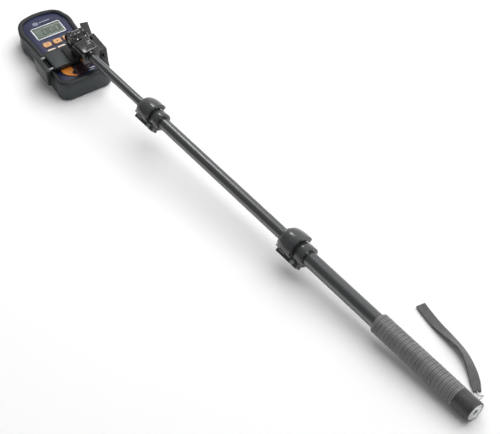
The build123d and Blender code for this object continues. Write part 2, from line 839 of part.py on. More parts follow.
with BuildPart() as rear_case:
    layer(shell_inset, rear_bottom, rear_case_height)
    layer(shell_inset + case_wall, rear_bottom + case_wall, rear_case_height - case_wall, Mode.SUBTRACT)
    with BuildSketch(meter_plane.offset(rear_bottom)):
        with Locations(*posts):
            Circle(case_post_r)
    extrude(amount=rear_case_height)
    with BuildSketch(meter_plane.offset(rear_bottom)):
        with Locations(*posts):
            Circle(case_screw_r)
    extrude(amount=rear_case_height, mode=Mode.SUBTRACT)
    with BuildSketch(meter_plane.offset(rear_bottom)):
        with Locations(*posts):
            Circle(case_screw_head_r)
    extrude(amount=case_screw_head_height, mode=Mode.SUBTRACT)
    with BuildSketch(meter_plane.offset(rear_bottom)):
        with Locations((battery_x, 0)):
            Rectangle(battery_length + 2 * battery_cover_margin, 4 * battery_y + battery_bay_gap)
    extrude(amount=case_wall, mode=Mode.SUBTRACT)
save(rear_case, "rear_case")

with BuildPart() as battery_cover:
    with BuildSketch(meter_plane.offset(rear_bottom)):
        with Locations((battery_x, 0)):
            Rectangle(
                battery_length + 2 * battery_cover_margin - 2 * case_gap,
                4 * battery_y + battery_bay_gap - 2 * case_gap,
            )
    extrude(amount=case_wall)
save(battery_cover, "battery_cover")

with BuildPart() as batteries:
    for side in (-1, 1):
        end_point = meter_plane.from_local_coords(
            (battery_x - battery_length / 2, side * battery_y, battery_height)
        )
        with BuildSketch(Plane(origin=end_point, z_dir=meter_plane.x_dir)):
            Circle(battery_r)
        extrude(amount=battery_length)
save(batteries, "batteries")

with BuildPart() as front_case:
    layer(shell_inset, split_height, face_top - split_height)
    layer(shell_inset + case_wall, split_height, inner_top - split_height, Mode.SUBTRACT)
    with BuildSketch(meter_plane.offset(split_height)):
        with Locations(*posts):
            Circle(case_post_r)
    extrude(amount=inner_top - split_height)
    with BuildSketch(meter_plane.offset(split_height)):
        with Locations(*posts):
            Circle(case_screw_r)
    extrude(amount=case_screw_length - rear_case_height + case_screw_head_height, mode=Mode.SUBTRACT)
    with BuildSketch(meter_plane.offset(inner_top)):
        with Locations((display_x, 0)):
            Rectangle(display_height - 2 * bezel_width, display_width - 2 * bezel_width)
        with Locations(*buttons):
            RectangleRounded(
                button_height + 2 * button_gap, button_width + 2 * button_gap, button_corner + button_gap
            )
        with Locations((dial_x, dial_y)):
            Circle(dial_shaft_r + button_gap)
    extrude(amount=case_wall, mode=Mode.SUBTRACT)
save(front_case, "front_case")

with BuildPart() as case_screws:
    with BuildSketch(meter_plane.offset(rear_bottom)):
        with Locations(*posts):
            Circle(case_screw_head_r)
    extrude(amount=case_screw_head_height)
    with BuildSketch(meter_plane.offset(rear_bottom)):
        with Locations(*posts):
            Circle(case_screw_r)
    extrude(amount=case_screw_length + case_screw_head_height)
save(case_screws, "case_screws")

with BuildPart() as face_label:
    layer(boot_wall + lip_overlap + label_inset, face_top, label_thickness)
    with BuildSketch(meter_plane.offset(face_top)):
        with Locations((display_x, 0)):
            Rectangle(display_height - 2 * bezel_width, display_width - 2 * bezel_width)
        with Locations(*buttons):
            RectangleRounded(
                button_height + 2 * button_gap, button_width + 2 * button_gap, button_corner + button_gap
            )
        with Locations((dial_x, dial_y)):
            Circle(dial_shaft_r + button_gap)
    extrude(amount=label_thickness, mode=Mode.SUBTRACT)
save(face_label, "face_label")

with BuildPart() as display_window:
    with BuildSketch(meter_plane.offset(face_top)):
        with Locations((display_x, 0)):
            Rectangle(display_height - 2 * bezel_width, display_width - 2 * bezel_width)
    extrude(amount=-window_thickness)
save(display_window, "display_window")

with BuildPart() as display_module:
    with BuildSketch(meter_plane.offset(board_top)):
        with Locations((display_x, 0)):
            Rectangle(display_height, display_width)
    extrude(amount=module_thickness)
save(display_module, "display_module")

with BuildPart() as circuit_board:
    layer(shell_inset + case_wall + board_inset, board_bottom, board_thickness)
    with BuildSketch(meter_plane.offset(board_bottom)):
        with Locations(*posts):
            Circle(case_post_r + button_gap)
    extrude(amount=board_thickness, mode=Mode.SUBTRACT)
save(circuit_board, "circuit_board")

with BuildPart() as button_domes:
    with BuildSketch(meter_plane.offset(board_top)):
        with Locations(*buttons):
            Circle(dome_r)
    extrude(amount=dome_height)
save(button_domes, "button_domes")

button_top = label_top + button_proud
button_bottom = button_top - button_depth
for number, place in enumerate(buttons, start=1):
    with BuildPart() as button:
        with BuildSketch(meter_plane.offset(button_bottom)):
            with Locations(place):
                RectangleRounded(button_height, button_width, button_corner)
        extrude(amount=button_depth)
        with BuildSketch(meter_plane.offset(button_bottom - flange_height)):
            with Locations(place):
                RectangleRounded(
                    button_height + 2 * flange_width, button_width + 2 * flange_width, button_corner
                )
        extrude(amount=flange_height)
    save(button, f"button_{number}")

dial_bottom = label_top + button_gap
rotor_bottom = board_top + button_gap
with BuildPart() as dial:
    with BuildSketch(meter_plane.offset(dial_bottom)):
        with Locations((dial_x, dial_y)):
            Circle(dial_r)
    extrude(amount=dial_thickness)
    with BuildSketch(meter_plane.offset(dial_bottom + dial_thickness)):
        with Locations((dial_x, dial_y)):
            SlotOverall(2 * (dial_r - dial_rib_setback), dial_rib_width)
    extrude(amount=dial_rib_height)
    with BuildSketch(meter_plane.offset(rotor_bottom)):
        with Locations((dial_x, dial_y)):
            Circle(dial_shaft_r)
    extrude(amount=dial_bottom - rotor_bottom)
save(dial, "dial")

with BuildPart() as dial_rotor:
    with BuildSketch(meter_plane.offset(rotor_bottom)):
        with Locations((dial_x, dial_y)):
            Circle(rotor_r)
            Circle(dial_shaft_r, mode=Mode.SUBTRACT)
    extrude(amount=rotor_thickness)
save(dial_rotor, "dial_rotor")

with BuildPart() as search_coil:
    coil_bottom = rear_bottom + case_wall + battery_bay_gap
    with BuildSketch(meter_plane.offset(coil_bottom)):
        with Locations((coil_x, 0)):
            Circle(coil_r + coil_section_r)
            Circle(coil_r - coil_section_r, mode=Mode.SUBTRACT)
    extrude(amount=2 * coil_section_r)
save(search_coil, "search_coil")

with BuildPart() as buzzer:
    with BuildSketch(meter_plane.offset(board_bottom)):
        with Locations((button_x, button_pitch)):
            Circle(buzzer_r)
    extrude(amount=-buzzer_height)
save(buzzer, "buzzer")


# Wrist strap.
def corner_radii(points):
    """The largest arcs that the runs on each side of a corner leave room for."""
    radii = []
    for before, here, after in zip(points, points[1:], points[2:]):
        first = Vector(here) - Vector(before)
        second = Vector(after) - Vector(here)
        turn = math.radians(first.get_angle(second))
        radii.append(corner_share * min(first.length, second.length) / math.tan(turn / 2))
    return radii


webbing_radii = corner_radii([(x, y, 0) for x, y in webbing_route])
cord_radii = corner_radii(cord_route)
print("webbing radii", [round(radius, 1) for radius in webbing_radii])
print("cord radii", [round(radius, 1) for radius in cord_radii])

with BuildPart() as strap_webbing:
    with BuildLine() as webbing_line:
        FilletPolyline(*[(x, y, webbing_thickness / 2) for x, y in webbing_route], radius=webbing_radii)
    first_run = Vector(*webbing_route[1]) - Vector(*webbing_route[0])
    mouth = Plane(origin=(*webbing_route[0], webbing_thickness / 2), x_dir=(0, 0, 1), z_dir=first_run)
    with BuildSketch(mouth):
        Rectangle(webbing_thickness, webbing_width)
    sweep()
save(strap_webbing, "strap_webbing")

with BuildPart() as strap_cord:
    with BuildLine() as cord_line:
        FilletPolyline(*cord_route, radius=cord_radii)
    with BuildSketch(Plane(origin=cord_route[0], z_dir=Vector(*cord_route[1]) - Vector(*cord_route[0]))):
        Circle(cord_r)
    sweep()
save(strap_cord, "strap_cord")

for line, piece, section in (
    (webbing_line, strap_webbing, webbing_width * webbing_thickness),
    (cord_line, strap_cord, math.pi * cord_r**2),
):
    length = sum(edge.length for edge in line.edges())
    print("length", round(length, 1), "volume ratio", round(piece.part.volume / (length * section), 3))
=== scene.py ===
import bmesh
import bpy
import math
from mathutils import Matrix, Vector


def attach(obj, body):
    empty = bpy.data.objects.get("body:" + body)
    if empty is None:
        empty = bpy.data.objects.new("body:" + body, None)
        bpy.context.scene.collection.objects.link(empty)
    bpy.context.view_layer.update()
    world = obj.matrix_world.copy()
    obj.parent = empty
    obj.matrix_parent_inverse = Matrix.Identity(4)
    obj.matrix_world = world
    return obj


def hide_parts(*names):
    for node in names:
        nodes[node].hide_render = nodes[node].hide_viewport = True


# Hand meter in a rubber boot, held by a spring clamp on a telescopic pole.
# Sizes are in millimetres in the dictionaries and turned to metres where they are used.

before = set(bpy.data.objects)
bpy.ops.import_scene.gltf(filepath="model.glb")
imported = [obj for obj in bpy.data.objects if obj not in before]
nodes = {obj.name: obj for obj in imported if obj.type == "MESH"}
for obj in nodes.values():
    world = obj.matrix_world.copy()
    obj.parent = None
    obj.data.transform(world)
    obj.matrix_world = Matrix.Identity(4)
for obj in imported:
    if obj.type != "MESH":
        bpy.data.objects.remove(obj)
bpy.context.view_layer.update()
mm = 0.001
print("frame loaded,", len(nodes), "nodes")


def letGo():
    if bpy.context.mode != "OBJECT":
        bpy.ops.object.mode_set(mode="OBJECT")
    bpy.ops.object.select_all(action="DESELECT")


def takeUp(obj):
    letGo()
    obj.select_set(True)
    bpy.context.view_layer.objects.active = obj


def axes(origin, xDir, zDir):
    z = Vector(zDir).normalized()
    y = z.cross(Vector(xDir)).normalized()
    turned = Matrix((y.cross(z), y, z)).transposed().to_4x4()
    turned.translation = Vector(origin) * mm
    return turned


def linear(code):
    parts = [int(code[i:i + 2], 16) / 255 for i in (1, 3, 5)]
    return [c / 12.92 if c <= 0.04045 else ((c + 0.055) / 1.055) ** 2.4 for c in parts] + [1.0]


def addNode(tree, kind, values=None, links=None, **settings):
    made = tree.nodes.new("ShaderNode" + kind)
    for name, value in settings.items():
        setattr(made, name, value)
    for socket, value in (values or {}).items():
        made.inputs[socket].default_value = value
    for socket, source in (links or {}).items():
        tree.links.new(source, made.inputs[socket])
    return made


def freshMaterial(name, values):
    made = bpy.data.materials.new(name)
    made.use_nodes = True
    tree = made.node_tree
    tree.nodes.clear()
    shader = addNode(tree, "BsdfPrincipled", values)
    addNode(tree, "OutputMaterial", links={"Surface": shader.outputs[0]})
    return made, tree, shader


# Frames that pieces are modelled in: the pole's own axis is Z, from its start; the clamp and the
# meter lie flat, turned by the pan angle; the tilt pin's axis is Z in the last one.
pole = {"startHeight": 57.0, "lean": math.radians(3.41323), "hingeAlong": 7.5, "hingeSide": 8.0}
poleLine = Vector((math.cos(pole["lean"]), 0, -math.sin(pole["lean"])))
poleStart = Vector((0, 0, pole["startHeight"]))
poleFrame = axes(poleStart, (0, 1, 0), poleLine)
pan = {"angle": math.radians(7.3), "meterX": -31.0, "meterY": -6.0}
clampFrame = axes((0, 0, 0), (math.cos(pan["angle"]), -math.sin(pan["angle"]), 0), (0, 0, 1))
meterFrame = clampFrame @ Matrix.Translation((pan["meterX"] * mm, pan["meterY"] * mm, 0))
tiltCentre = poleStart + poleLine * pole["hingeAlong"] + Vector((0, pole["hingeSide"], 0))
tiltFrame = axes(tiltCentre, (1, 0, 0), (0, -1, 0))


camera = {"place": (1.2318, -0.6325, 1.1156), "turn": (43.8243, 2.1446, 51.2266), "lens": 92.3,
          "sensor": 36.0, "clip": 0.05}
view = bpy.data.cameras.new("camera")
view.lens = camera["lens"]
view.sensor_width = camera["sensor"]
view.clip_start = camera["clip"]
viewer = bpy.data.objects.new("camera", view)
viewer.location = camera["place"]
viewer.rotation_euler = [math.radians(a) for a in camera["turn"]]
bpy.context.scene.collection.objects.link(viewer)
bpy.context.scene.camera = viewer
bpy.context.scene.view_settings.view_transform = "Standard"

# The large softboxes light the shapes; the small ones only show as highlights on glossy pieces.
lights = {
    "softboxAbove": {"at": (0.15, 0.95, 1.75), "size": 2.4, "power": 39.0, "shines": False},
    "stripBehind": {"at": (-0.55, 0.75, 0.85), "size": 0.5, "power": 3.0, "shines": False},
    "highlightAhead": {"at": (1.55, 0.35, 1.35), "size": 0.3, "power": 16.0, "shines": True},
    "highlightBehind": {"at": (-0.6, 0.5, 1.3), "size": 0.25, "power": 2.6, "shines": True}}
lightsAim = Vector((0.35, 0, 0))
for name, lamp in lights.items():
    data = bpy.data.lights.new(name, "AREA")
    data.shape = "SQUARE"
    data.size = lamp["size"]
    data.energy = lamp["power"]
    made = bpy.data.objects.new(name, data)
    made.location = lamp["at"]
    made.rotation_euler = (lightsAim - Vector(lamp["at"])).to_track_quat("-Z", "Y").to_euler()
    made.visible_glossy = lamp["shines"]
    made.visible_diffuse = not lamp["shines"]
    bpy.context.scene.collection.objects.link(made)

# The room is dimmer on the side of -Y, which gives the tubes a dark and a light side.
room = {"dimAt": -0.5, "brightAt": 0.7, "dim": 0.24, "bright": 0.88}
world = bpy.data.worlds.new("studio")
world.use_nodes = True
tree = world.node_tree
roomLight = tree.nodes["Background"]
roomLight.inputs["Color"].default_value = (1, 1, 1, 1)
roomWay = addNode(tree, "SeparateXYZ", links={"Vector": addNode(tree, "TexCoord").outputs["Generated"]})
roomGlow = addNode(tree, "MapRange", {"From Min": room["dimAt"], "From Max": room["brightAt"],
                                      "To Min": room["dim"], "To Max": room["bright"]},
                   {"Value": roomWay.outputs["Y"]}, interpolation_type="SMOOTHSTEP")
tree.links.new(roomGlow.outputs["Result"], roomLight.inputs["Strength"])
bpy.context.scene.world = world

# White card with a faint tooth, lying just under the object.
card = {"size": 12.0, "centre": (0.35, 0, -0.0002), "dark": "#f4f4f4", "light": "#f8f8f8", "tooth": 900.0}
floorPaper, tree, shader = freshMaterial("whitePaper", {"Roughness": 0.9, "Specular IOR Level": 0.1})
paperGrain = addNode(tree, "TexNoise", {"Scale": card["tooth"], "Detail": 2.0},
                     {"Vector": addNode(tree, "TexCoord").outputs["Object"]})
paperTone = addNode(tree, "MixRGB", {"Color1": linear(card["dark"]), "Color2": linear(card["light"])},
                    {"Fac": paperGrain.outputs["Fac"]})
tree.links.new(paperTone.outputs[0], shader.inputs["Base Color"])
letGo()
bpy.ops.mesh.primitive_plane_add(size=card["size"], location=card["centre"])
floor = bpy.context.object
floor.name = "floor"
floor.data.materials.append(floorPaper)


# what all moulded or all machined finishes share; depths are in millimetres
finishes = {"ior": 1.5, "toneFrom": 0.35, "toneTo": 0.65, "grainDepth": 0.05, "coatRough": 0.12,
            "lineDepth": 0.02}


def moulded(name, spec):
    # plastic or rubber: "cloud" and "grain" are the sizes of its mottling and of its surface, in mm
    made, tree, shader = freshMaterial(name, {"IOR": finishes["ior"], "Metallic": 0.0})
    place = addNode(tree, "TexCoord").outputs["Object"]
    cloud = addNode(tree, "TexNoise", {"Scale": 1 / (spec["cloud"] * mm), "Detail": 3.0}, {"Vector": place})
    tone = addNode(tree, "ValToRGB", links={"Fac": cloud.outputs["Fac"]})
    tone.color_ramp.elements[0].position = finishes["toneFrom"]
    tone.color_ramp.elements[0].color = linear(spec["dark"])
    tone.color_ramp.elements[1].position = finishes["toneTo"]
    tone.color_ramp.elements[1].color = linear(spec["light"])
    gloss = addNode(tree, "MapRange", {"To Min": spec["rough"][0], "To Max": spec["rough"][1]},
                    {"Value": cloud.outputs["Fac"]})
    grain = addNode(tree, "TexNoise", {"Scale": 1 / (spec["grain"] * mm), "Detail": 2.0}, {"Vector": place})
    bump = addNode(tree, "Bump", {"Strength": spec["bump"], "Distance": finishes["grainDepth"] * mm},
                   {"Height": grain.outputs["Fac"]})
    tree.links.new(tone.outputs["Color"], shader.inputs["Base Color"])
    tree.links.new(gloss.outputs["Result"], shader.inputs["Roughness"])
    tree.links.new(bump.outputs["Normal"], shader.inputs["Normal"])
    if spec.get("coat"):
        shader.inputs["Coat Weight"].default_value = spec["coat"]
        shader.inputs["Coat Roughness"].default_value = finishes["coatRough"]
    return made


def machined(name, spec):
    # metal: "line" is the spacing of its tool marks in mm, "stretch" draws them out along an axis
    made, tree, shader = freshMaterial(name, {"Metallic": 1.0})
    place = addNode(tree, "TexCoord").outputs["Object"]
    lined = addNode(tree, "Mapping", {"Rotation": (0, -pole["lean"], 0), "Scale": spec["stretch"]},
                    {"Vector": place})
    lines = addNode(tree, "TexNoise", {"Scale": 1 / (spec["line"] * mm), "Detail": 3.0},
                    {"Vector": lined.outputs[0]})
    tone = addNode(tree, "MixRGB", {"Color1": linear(spec["dark"]), "Color2": linear(spec["light"])},
                   {"Fac": lines.outputs["Fac"]})
    gloss = addNode(tree, "MapRange", {"To Min": spec["rough"][0], "To Max": spec["rough"][1]},
                    {"Value": lines.outputs["Fac"]})
    bump = addNode(tree, "Bump", {"Strength": spec["bump"], "Distance": finishes["lineDepth"] * mm},
                   {"Height": lines.outputs["Fac"]})
    tree.links.new(tone.outputs[0], shader.inputs["Base Color"])
    tree.links.new(gloss.outputs["Result"], shader.inputs["Roughness"])
    tree.links.new(bump.outputs["Normal"], shader.inputs["Normal"])
    return made


# Dark anodised aluminium tube, drawn and polished: clear soft reflections, faint lines along it.
blackAnodised = machined("blackAnodisedTube", {
    "dark": "#6a6b6c", "light": "#767778", "rough": (0.26, 0.34), "line": 0.5, "stretch": (0.02, 1, 1),
    "bump": 0.12})
# Turned aluminium: bright, fine tool rings.
turnedAluminium = machined("turnedAluminium", {
    "dark": "#b9babb", "light": "#d6d7d8", "rough": (0.22, 0.36), "line": 0.4, "stretch": (1, 1, 1),
    "bump": 0.2})
# Zinc-plated steel screws and pins: greyer and a little duller.
platedSteel = machined("platedSteel", {
    "dark": "#8f9193", "light": "#b4b6b8", "rough": (0.24, 0.4), "line": 0.6, "stretch": (1, 1, 1),
    "bump": 0.15})
# Enamelled copper wire of the search coil: warm, satin, wound fine.
copperWire = machined("enamelledCopper", {
    "dark": "#8a4a25", "light": "#b8693a", "rough": (0.3, 0.42), "line": 0.35, "stretch": (1, 1, 1),
    "bump": 0.3})
# Gold-plated spring domes under the keys: bright and smooth.
springBrass = machined("goldPlatedDome", {
    "dark": "#b08b3e", "light": "#cfae5d", "rough": (0.2, 0.32), "line": 0.5, "stretch": (1, 1, 1),
    "bump": 0.1})

# Ribbed thermoplastic rubber grip: mid grey, satin, slightly dusty.
gripRubber = moulded("greyGripRubber", {
    "dark": "#747474", "light": "#838383", "rough": (0.3, 0.42), "cloud": 14, "grain": 0.35, "bump": 0.25})
# Glossy black ABS of the levers and collars.
lockPlastic = moulded("lockAbs", {
    "dark": "#353637", "light": "#3f4041", "rough": (0.16, 0.24), "cloud": 9, "grain": 0.5, "bump": 0.08,
    "coat": 0.4})
# Black ABS of the end cap: satin.
capPlastic = moulded("capAbs", {
    "dark": "#38383a", "light": "#424244", "rough": (0.36, 0.46), "cloud": 8, "grain": 0.4, "bump": 0.1})
# Glass-filled nylon of the head, swivel and clamp: black, glossy on the faces, a little mottled.
headPlastic = moulded("headNylon", {
    "dark": "#0a0a0b", "light": "#131314", "rough": (0.16, 0.28), "cloud": 5, "grain": 0.45, "bump": 0.15,
    "coat": 0.3})
# Black ABS of the clamp's body: satin, lightly grained.
clampPlastic = moulded("clampAbs", {
    "dark": "#101112", "light": "#18191a", "rough": (0.3, 0.42), "cloud": 7, "grain": 0.4, "bump": 0.15})
# ABS cover plate: satin, with a slight blue cast.
coverPlastic = moulded("coverAbs", {
    "dark": "#232a2d", "light": "#2b3336", "rough": (0.34, 0.44), "cloud": 9, "grain": 0.4, "bump": 0.12})
# Satin outer face of the sprung jaw.
jawPlastic = moulded("jawAbs", {
    "dark": "#1b1d1e", "light": "#242627", "rough": (0.36, 0.46), "cloud": 9, "grain": 0.35, "bump": 0.15})
# Matt rubber of the jaws' pads, then smooth acetal of the bushes, plugs and rotor.
padRubber = moulded("padRubber", {
    "dark": "#0d0d0d", "light": "#151515", "rough": (0.6, 0.75), "cloud": 5, "grain": 0.3, "bump": 0.3})
bushPlastic = moulded("bushAcetal", {
    "dark": "#202020", "light": "#292929", "rough": (0.35, 0.45), "cloud": 5, "grain": 0.4, "bump": 0.1})
# Overmoulded soft rubber boot: charcoal with a trace of green, satin.
bootRubber = moulded("bootRubber", {
    "dark": "#15181a", "light": "#1c2022", "rough": (0.42, 0.54), "cloud": 12, "grain": 0.35, "bump": 0.3})
# The boot's side walls, below "from" mm, are painted paler than its rim: painted light for the white floor
# lighting the sides; the rim keeps the rubber's own tone.
bootWallPaintedLight = {"tone": "#31373a", "from": 19.0, "to": 25.0}
tree = bootRubber.node_tree
rimTone = tree.nodes["Principled BSDF"].inputs["Base Color"].links[0].from_socket
bootPlace = addNode(tree, "SeparateXYZ", links={"Vector": addNode(tree, "TexCoord").outputs["Object"]})
paintedLightShare = addNode(tree, "MapRange", {"From Min": bootWallPaintedLight["from"] * mm, "From Max": bootWallPaintedLight["to"] * mm},
                   {"Value": bootPlace.outputs["Z"]})
# paler wall colour below the rim: painted light, blended by height into the rubber's own tone
paintedWallLight = addNode(tree, "MixRGB", {"Color1": linear(bootWallPaintedLight["tone"])},
                   {"Fac": paintedLightShare.outputs["Result"], "Color2": rimTone})
tree.links.new(paintedWallLight.outputs[0], tree.nodes["Principled BSDF"].inputs["Base Color"])
# Plain moulded ABS of the case halves and battery cover.
casePlastic = moulded("caseAbs", {
    "dark": "#18191b", "light": "#202124", "rough": (0.35, 0.45), "cloud": 9, "grain": 0.4, "bump": 0.12})
# Printed polyester face film: navy under a smooth satin skin.
faceFilm = moulded("navyFilm", {
    "dark": "#171c3c", "light": "#1e2448", "rough": (0.28, 0.36), "cloud": 20, "grain": 0.25, "bump": 0.08})
# Screen-printed inks: thin, matt and even.
whiteInk = moulded("whiteInk", {
    "dark": "#d5d8dd", "light": "#e4e6ea", "rough": (0.4, 0.5), "cloud": 4, "grain": 0.3, "bump": 0.05})
paleInk = moulded("paleInk", {
    "dark": "#9aa0b6", "light": "#abb1c6", "rough": (0.4, 0.5), "cloud": 4, "grain": 0.3, "bump": 0.05})
darkInk = moulded("keyInk", {
    "dark": "#6e3a18", "light": "#7d4520", "rough": (0.4, 0.5), "cloud": 4, "grain": 0.3, "bump": 0.05})
# Reflective liquid-crystal panel: grey-green, glossy cover.
lcdPanel = moulded("lcdPanel", {
    "dark": "#5d6a60", "light": "#6b786d", "rough": (0.18, 0.24), "cloud": 16, "grain": 0.3, "bump": 0.02,
    "coat": 0.6})
lcdInk = moulded("lcdSegment", {
    "dark": "#161c18", "light": "#1d241f", "rough": (0.3, 0.36), "cloud": 6, "grain": 0.3, "bump": 0.02})
# Silicone keys: warm orange in one row and pale in the other, satin.
keyRubber = moulded("orangeSilicone", {
    "dark": "#cf9a68", "light": "#dcab7b", "rough": (0.4, 0.5), "cloud": 5, "grain": 0.3, "bump": 0.2})
paleKeyRubber = moulded("paleSilicone", {
    "dark": "#d9c3ae", "light": "#e8d8c6", "rough": (0.4, 0.5), "cloud": 5, "grain": 0.3, "bump": 0.2})
# ABS of the dial: orange. Then a glossier dark, a painted shadow of the clamp over the dial's right-hand
# part.
dialPlastic = moulded("orangeAbs", {
    "dark": "#e08420", "light": "#ec942c", "rough": (0.34, 0.44), "cloud": 8, "grain": 0.35, "bump": 0.12})
dialShadowMaterial = moulded("dialPaintedShadow", {
    "dark": "#2a1a1c", "light": "#35222a", "rough": (0.2, 0.3), "cloud": 4, "grain": 0.35, "bump": 0.1})
# Green fibreglass board and the cells' glossy wrap.
boardFibre = moulded("boardFibreglass", {
    "dark": "#0f4427", "light": "#17532f", "rough": (0.35, 0.45), "cloud": 3, "grain": 0.4, "bump": 0.2})
cellWrap = moulded("cellWrap", {
    "dark": "#2f3438", "light": "#3c4247", "rough": (0.25, 0.32), "cloud": 8, "grain": 0.5, "bump": 0.05})
print("materials made")


def settle(piece, name, place, material, body, replaced=(), sharp=32):
    takeUp(piece)
    piece.name = name
    piece.data.name = name
    piece.matrix_world = place @ piece.matrix_world
    bpy.ops.object.transform_apply(location=True, rotation=True, scale=True)
    if sharp:
        bpy.ops.object.shade_smooth_by_angle(angle=math.radians(sharp))
    piece.data.materials.clear()
    piece.data.materials.append(material)
    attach(piece, body)
    if replaced:
        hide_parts(*replaced)
    return piece


def turnProfile(profile, steps=72):
    # a profile of (radius, height) in mm, extruded from one point and spun round Z
    letGo()
    bpy.ops.mesh.primitive_plane_add(size=1 * mm, location=(0, 0, 0))
    piece = bpy.context.object
    bpy.ops.object.mode_set(mode="EDIT")
    bpy.ops.mesh.select_all(action="SELECT")
    bpy.ops.mesh.merge(type="CENTER")
    bpy.ops.transform.translate(value=(profile[0][0] * mm, 0, profile[0][1] * mm))
    for (r0, z0), (r1, z1) in zip(profile, profile[1:]):
        bpy.ops.mesh.extrude_region_move(
            TRANSFORM_OT_translate={"value": ((r1 - r0) * mm, 0, (z1 - z0) * mm)})
    bpy.ops.mesh.select_all(action="SELECT")
    bpy.ops.mesh.spin(steps=steps, angle=2 * math.pi, center=(0, 0, 0), axis=(0, 0, 1))
    bpy.ops.mesh.select_all(action="SELECT")
    bpy.ops.mesh.remove_doubles(threshold=0.002 * mm)
    bpy.ops.mesh.normals_make_consistent(inside=False)
    bpy.ops.object.mode_set(mode="OBJECT")
    return piece


def stackRings(rings, closeEnds=True):
    # rings of points in mm, each extruded from the one before and set in place
    letGo()
    bpy.ops.mesh.primitive_circle_add(vertices=len(rings[0]), radius=1 * mm, location=(0, 0, 0))
    piece = bpy.context.object
    bpy.ops.object.mode_set(mode="EDIT")
    bpy.ops.mesh.select_all(action="SELECT")
    shape = bmesh.from_edit_mesh(piece.data)
    order = shape.verts.layers.int.new("order")
    shape.verts.ensure_lookup_table()
    for i, v in enumerate(shape.verts):
        v[order] = i
    for number, ring in enumerate(rings):
        if number:
            bpy.ops.mesh.extrude_region_move()
        shape = bmesh.from_edit_mesh(piece.data)
        order = shape.verts.layers.int["order"]
        for v in shape.verts:
            if v.select:
                v.co = Vector(ring[v[order]]) * mm
    if closeEnds:
        bpy.ops.mesh.select_all(action="SELECT")
        bpy.ops.mesh.remove_doubles(threshold=0.001 * mm)
        bpy.ops.mesh.select_all(action="DESELECT")
        bpy.ops.mesh.select_non_manifold()
        bpy.ops.mesh.fill_holes(sides=0)
    bpy.ops.mesh.select_all(action="SELECT")
    bpy.ops.mesh.normals_make_consistent(inside=False)
    bpy.ops.object.mode_set(mode="OBJECT")
    return piece


def softened(node, width, segments=3):
    # a merged copy of a CAD piece with its sharp edges rounded
    piece = nodes[node].copy()
    piece.data = nodes[node].data.copy()
    for key in list(piece.keys()):
        del piece[key]
    bpy.context.scene.collection.objects.link(piece)
    piece.parent = None
    piece.matrix_world = Matrix.Identity(4)
    takeUp(piece)
    bpy.ops.object.mode_set(mode="EDIT")
    bpy.ops.mesh.select_all(action="SELECT")
    bpy.ops.mesh.remove_doubles(threshold=0.002 * mm)
    bpy.ops.mesh.dissolve_limited(angle_limit=math.radians(0.6))
    bpy.ops.object.mode_set(mode="OBJECT")
    soft = piece.modifiers.new("soft", "BEVEL")
    soft.width = width * mm
    soft.segments = segments
    soft.limit_method = "ANGLE"
    soft.angle_limit = math.radians(35)
    soft.use_clamp_overlap = True
    bpy.ops.object.modifier_apply(modifier="soft")
    return piece


def dress(node, material):
    nodes[node].data.materials.clear()
    nodes[node].data.materials.append(material)


def joined(pieces):
    letGo()
    for piece in pieces:
        piece.select_set(True)
    bpy.context.view_layer.objects.active = pieces[0]
    bpy.ops.object.join()
    return bpy.context.object


def cutAway(piece, cutter):
    takeUp(piece)
    cut = piece.modifiers.new("cut", "BOOLEAN")
    cut.object = cutter
    cut.operation = "DIFFERENCE"
    bpy.ops.object.modifier_apply(modifier="cut")
    bpy.data.objects.remove(cutter)


strap = {
    "route": [(728.2, 27.0, 1.5), (716.5, 35.2, 1.5), (702.0, 43.8, 1.5), (683.5, 51.8, 1.5),
              (660.0, 55.0, 1.5), (631.5, 57.6, 1.5), (604.0, 64.2, 1.5)],
    "width": 11.5, "layer": 1.25, "gap": 0.25, "twist": -38.0, "thread": 0.55, "waveShare": 0.288,
    "seam": 1.1, "seamRound": 0.25, "edgeRound": 0.5, "edgeShare": 0.35, "gatherBy": 0.25, "gatherOver": 0.08,
    "cordRoute": [(744.0, 11.6, 17.0), (744.0, 16.6, 18.4), (742.6, 21.0, 15.4), (739.6, 22.8, 9.6),
                  (735.8, 23.2, 4.6), (732.0, 24.34, 1.5), (728.2, 27.0, 1.5)],
    "cordRadius": 0.7, "braidScale": 420.0, "strandHeight": 0.15, "threadHeight": 0.2, "fuzz": 160.0}


def splineThrough(name, points):
    data = bpy.data.curves.new(name, "CURVE")
    data.dimensions = "3D"
    line = data.splines.new("NURBS")
    line.points.add(len(points) - 1)
    for point, place in zip(line.points, points):
        point.co = (*(Vector(place) * mm), 1)
    line.order_u = 3
    line.use_endpoint_u = True
    line.resolution_u = 12
    made = bpy.data.objects.new(name, data)
    bpy.context.scene.collection.objects.link(made)
    return made


# Braided polyester cord, off-white, with slanting strands.
braid, tree, shader = freshMaterial("braidedCord", {"Roughness": 0.7, "Sheen Weight": 0.3})
along = addNode(tree, "TexCoord").outputs["Object"]
strands = addNode(tree, "TexWave", {"Scale": strap["braidScale"], "Distortion": 1.5, "Detail": 1.0},
                  {"Vector": along}, bands_direction="DIAGONAL")
strandTone = addNode(tree, "MixRGB", {"Color1": linear("#a9a8a4"), "Color2": linear("#dddcd8")},
                     {"Fac": strands.outputs["Fac"]})
strandBump = addNode(tree, "Bump", {"Strength": 0.5, "Distance": strap["strandHeight"] * mm},
                     {"Height": strands.outputs["Fac"]})
tree.links.new(strandTone.outputs[0], shader.inputs["Base Color"])
tree.links.new(strandBump.outputs["Normal"], shader.inputs["Normal"])

strapCord = splineThrough("strapCord", strap["cordRoute"])
strapCord.data.bevel_depth = strap["cordRadius"] * mm
strapCord.data.bevel_resolution = 5
strapCord.data.use_fill_caps = True
strapCord.data.materials.append(braid)
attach(strapCord, "handle")
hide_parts("strap_cord")

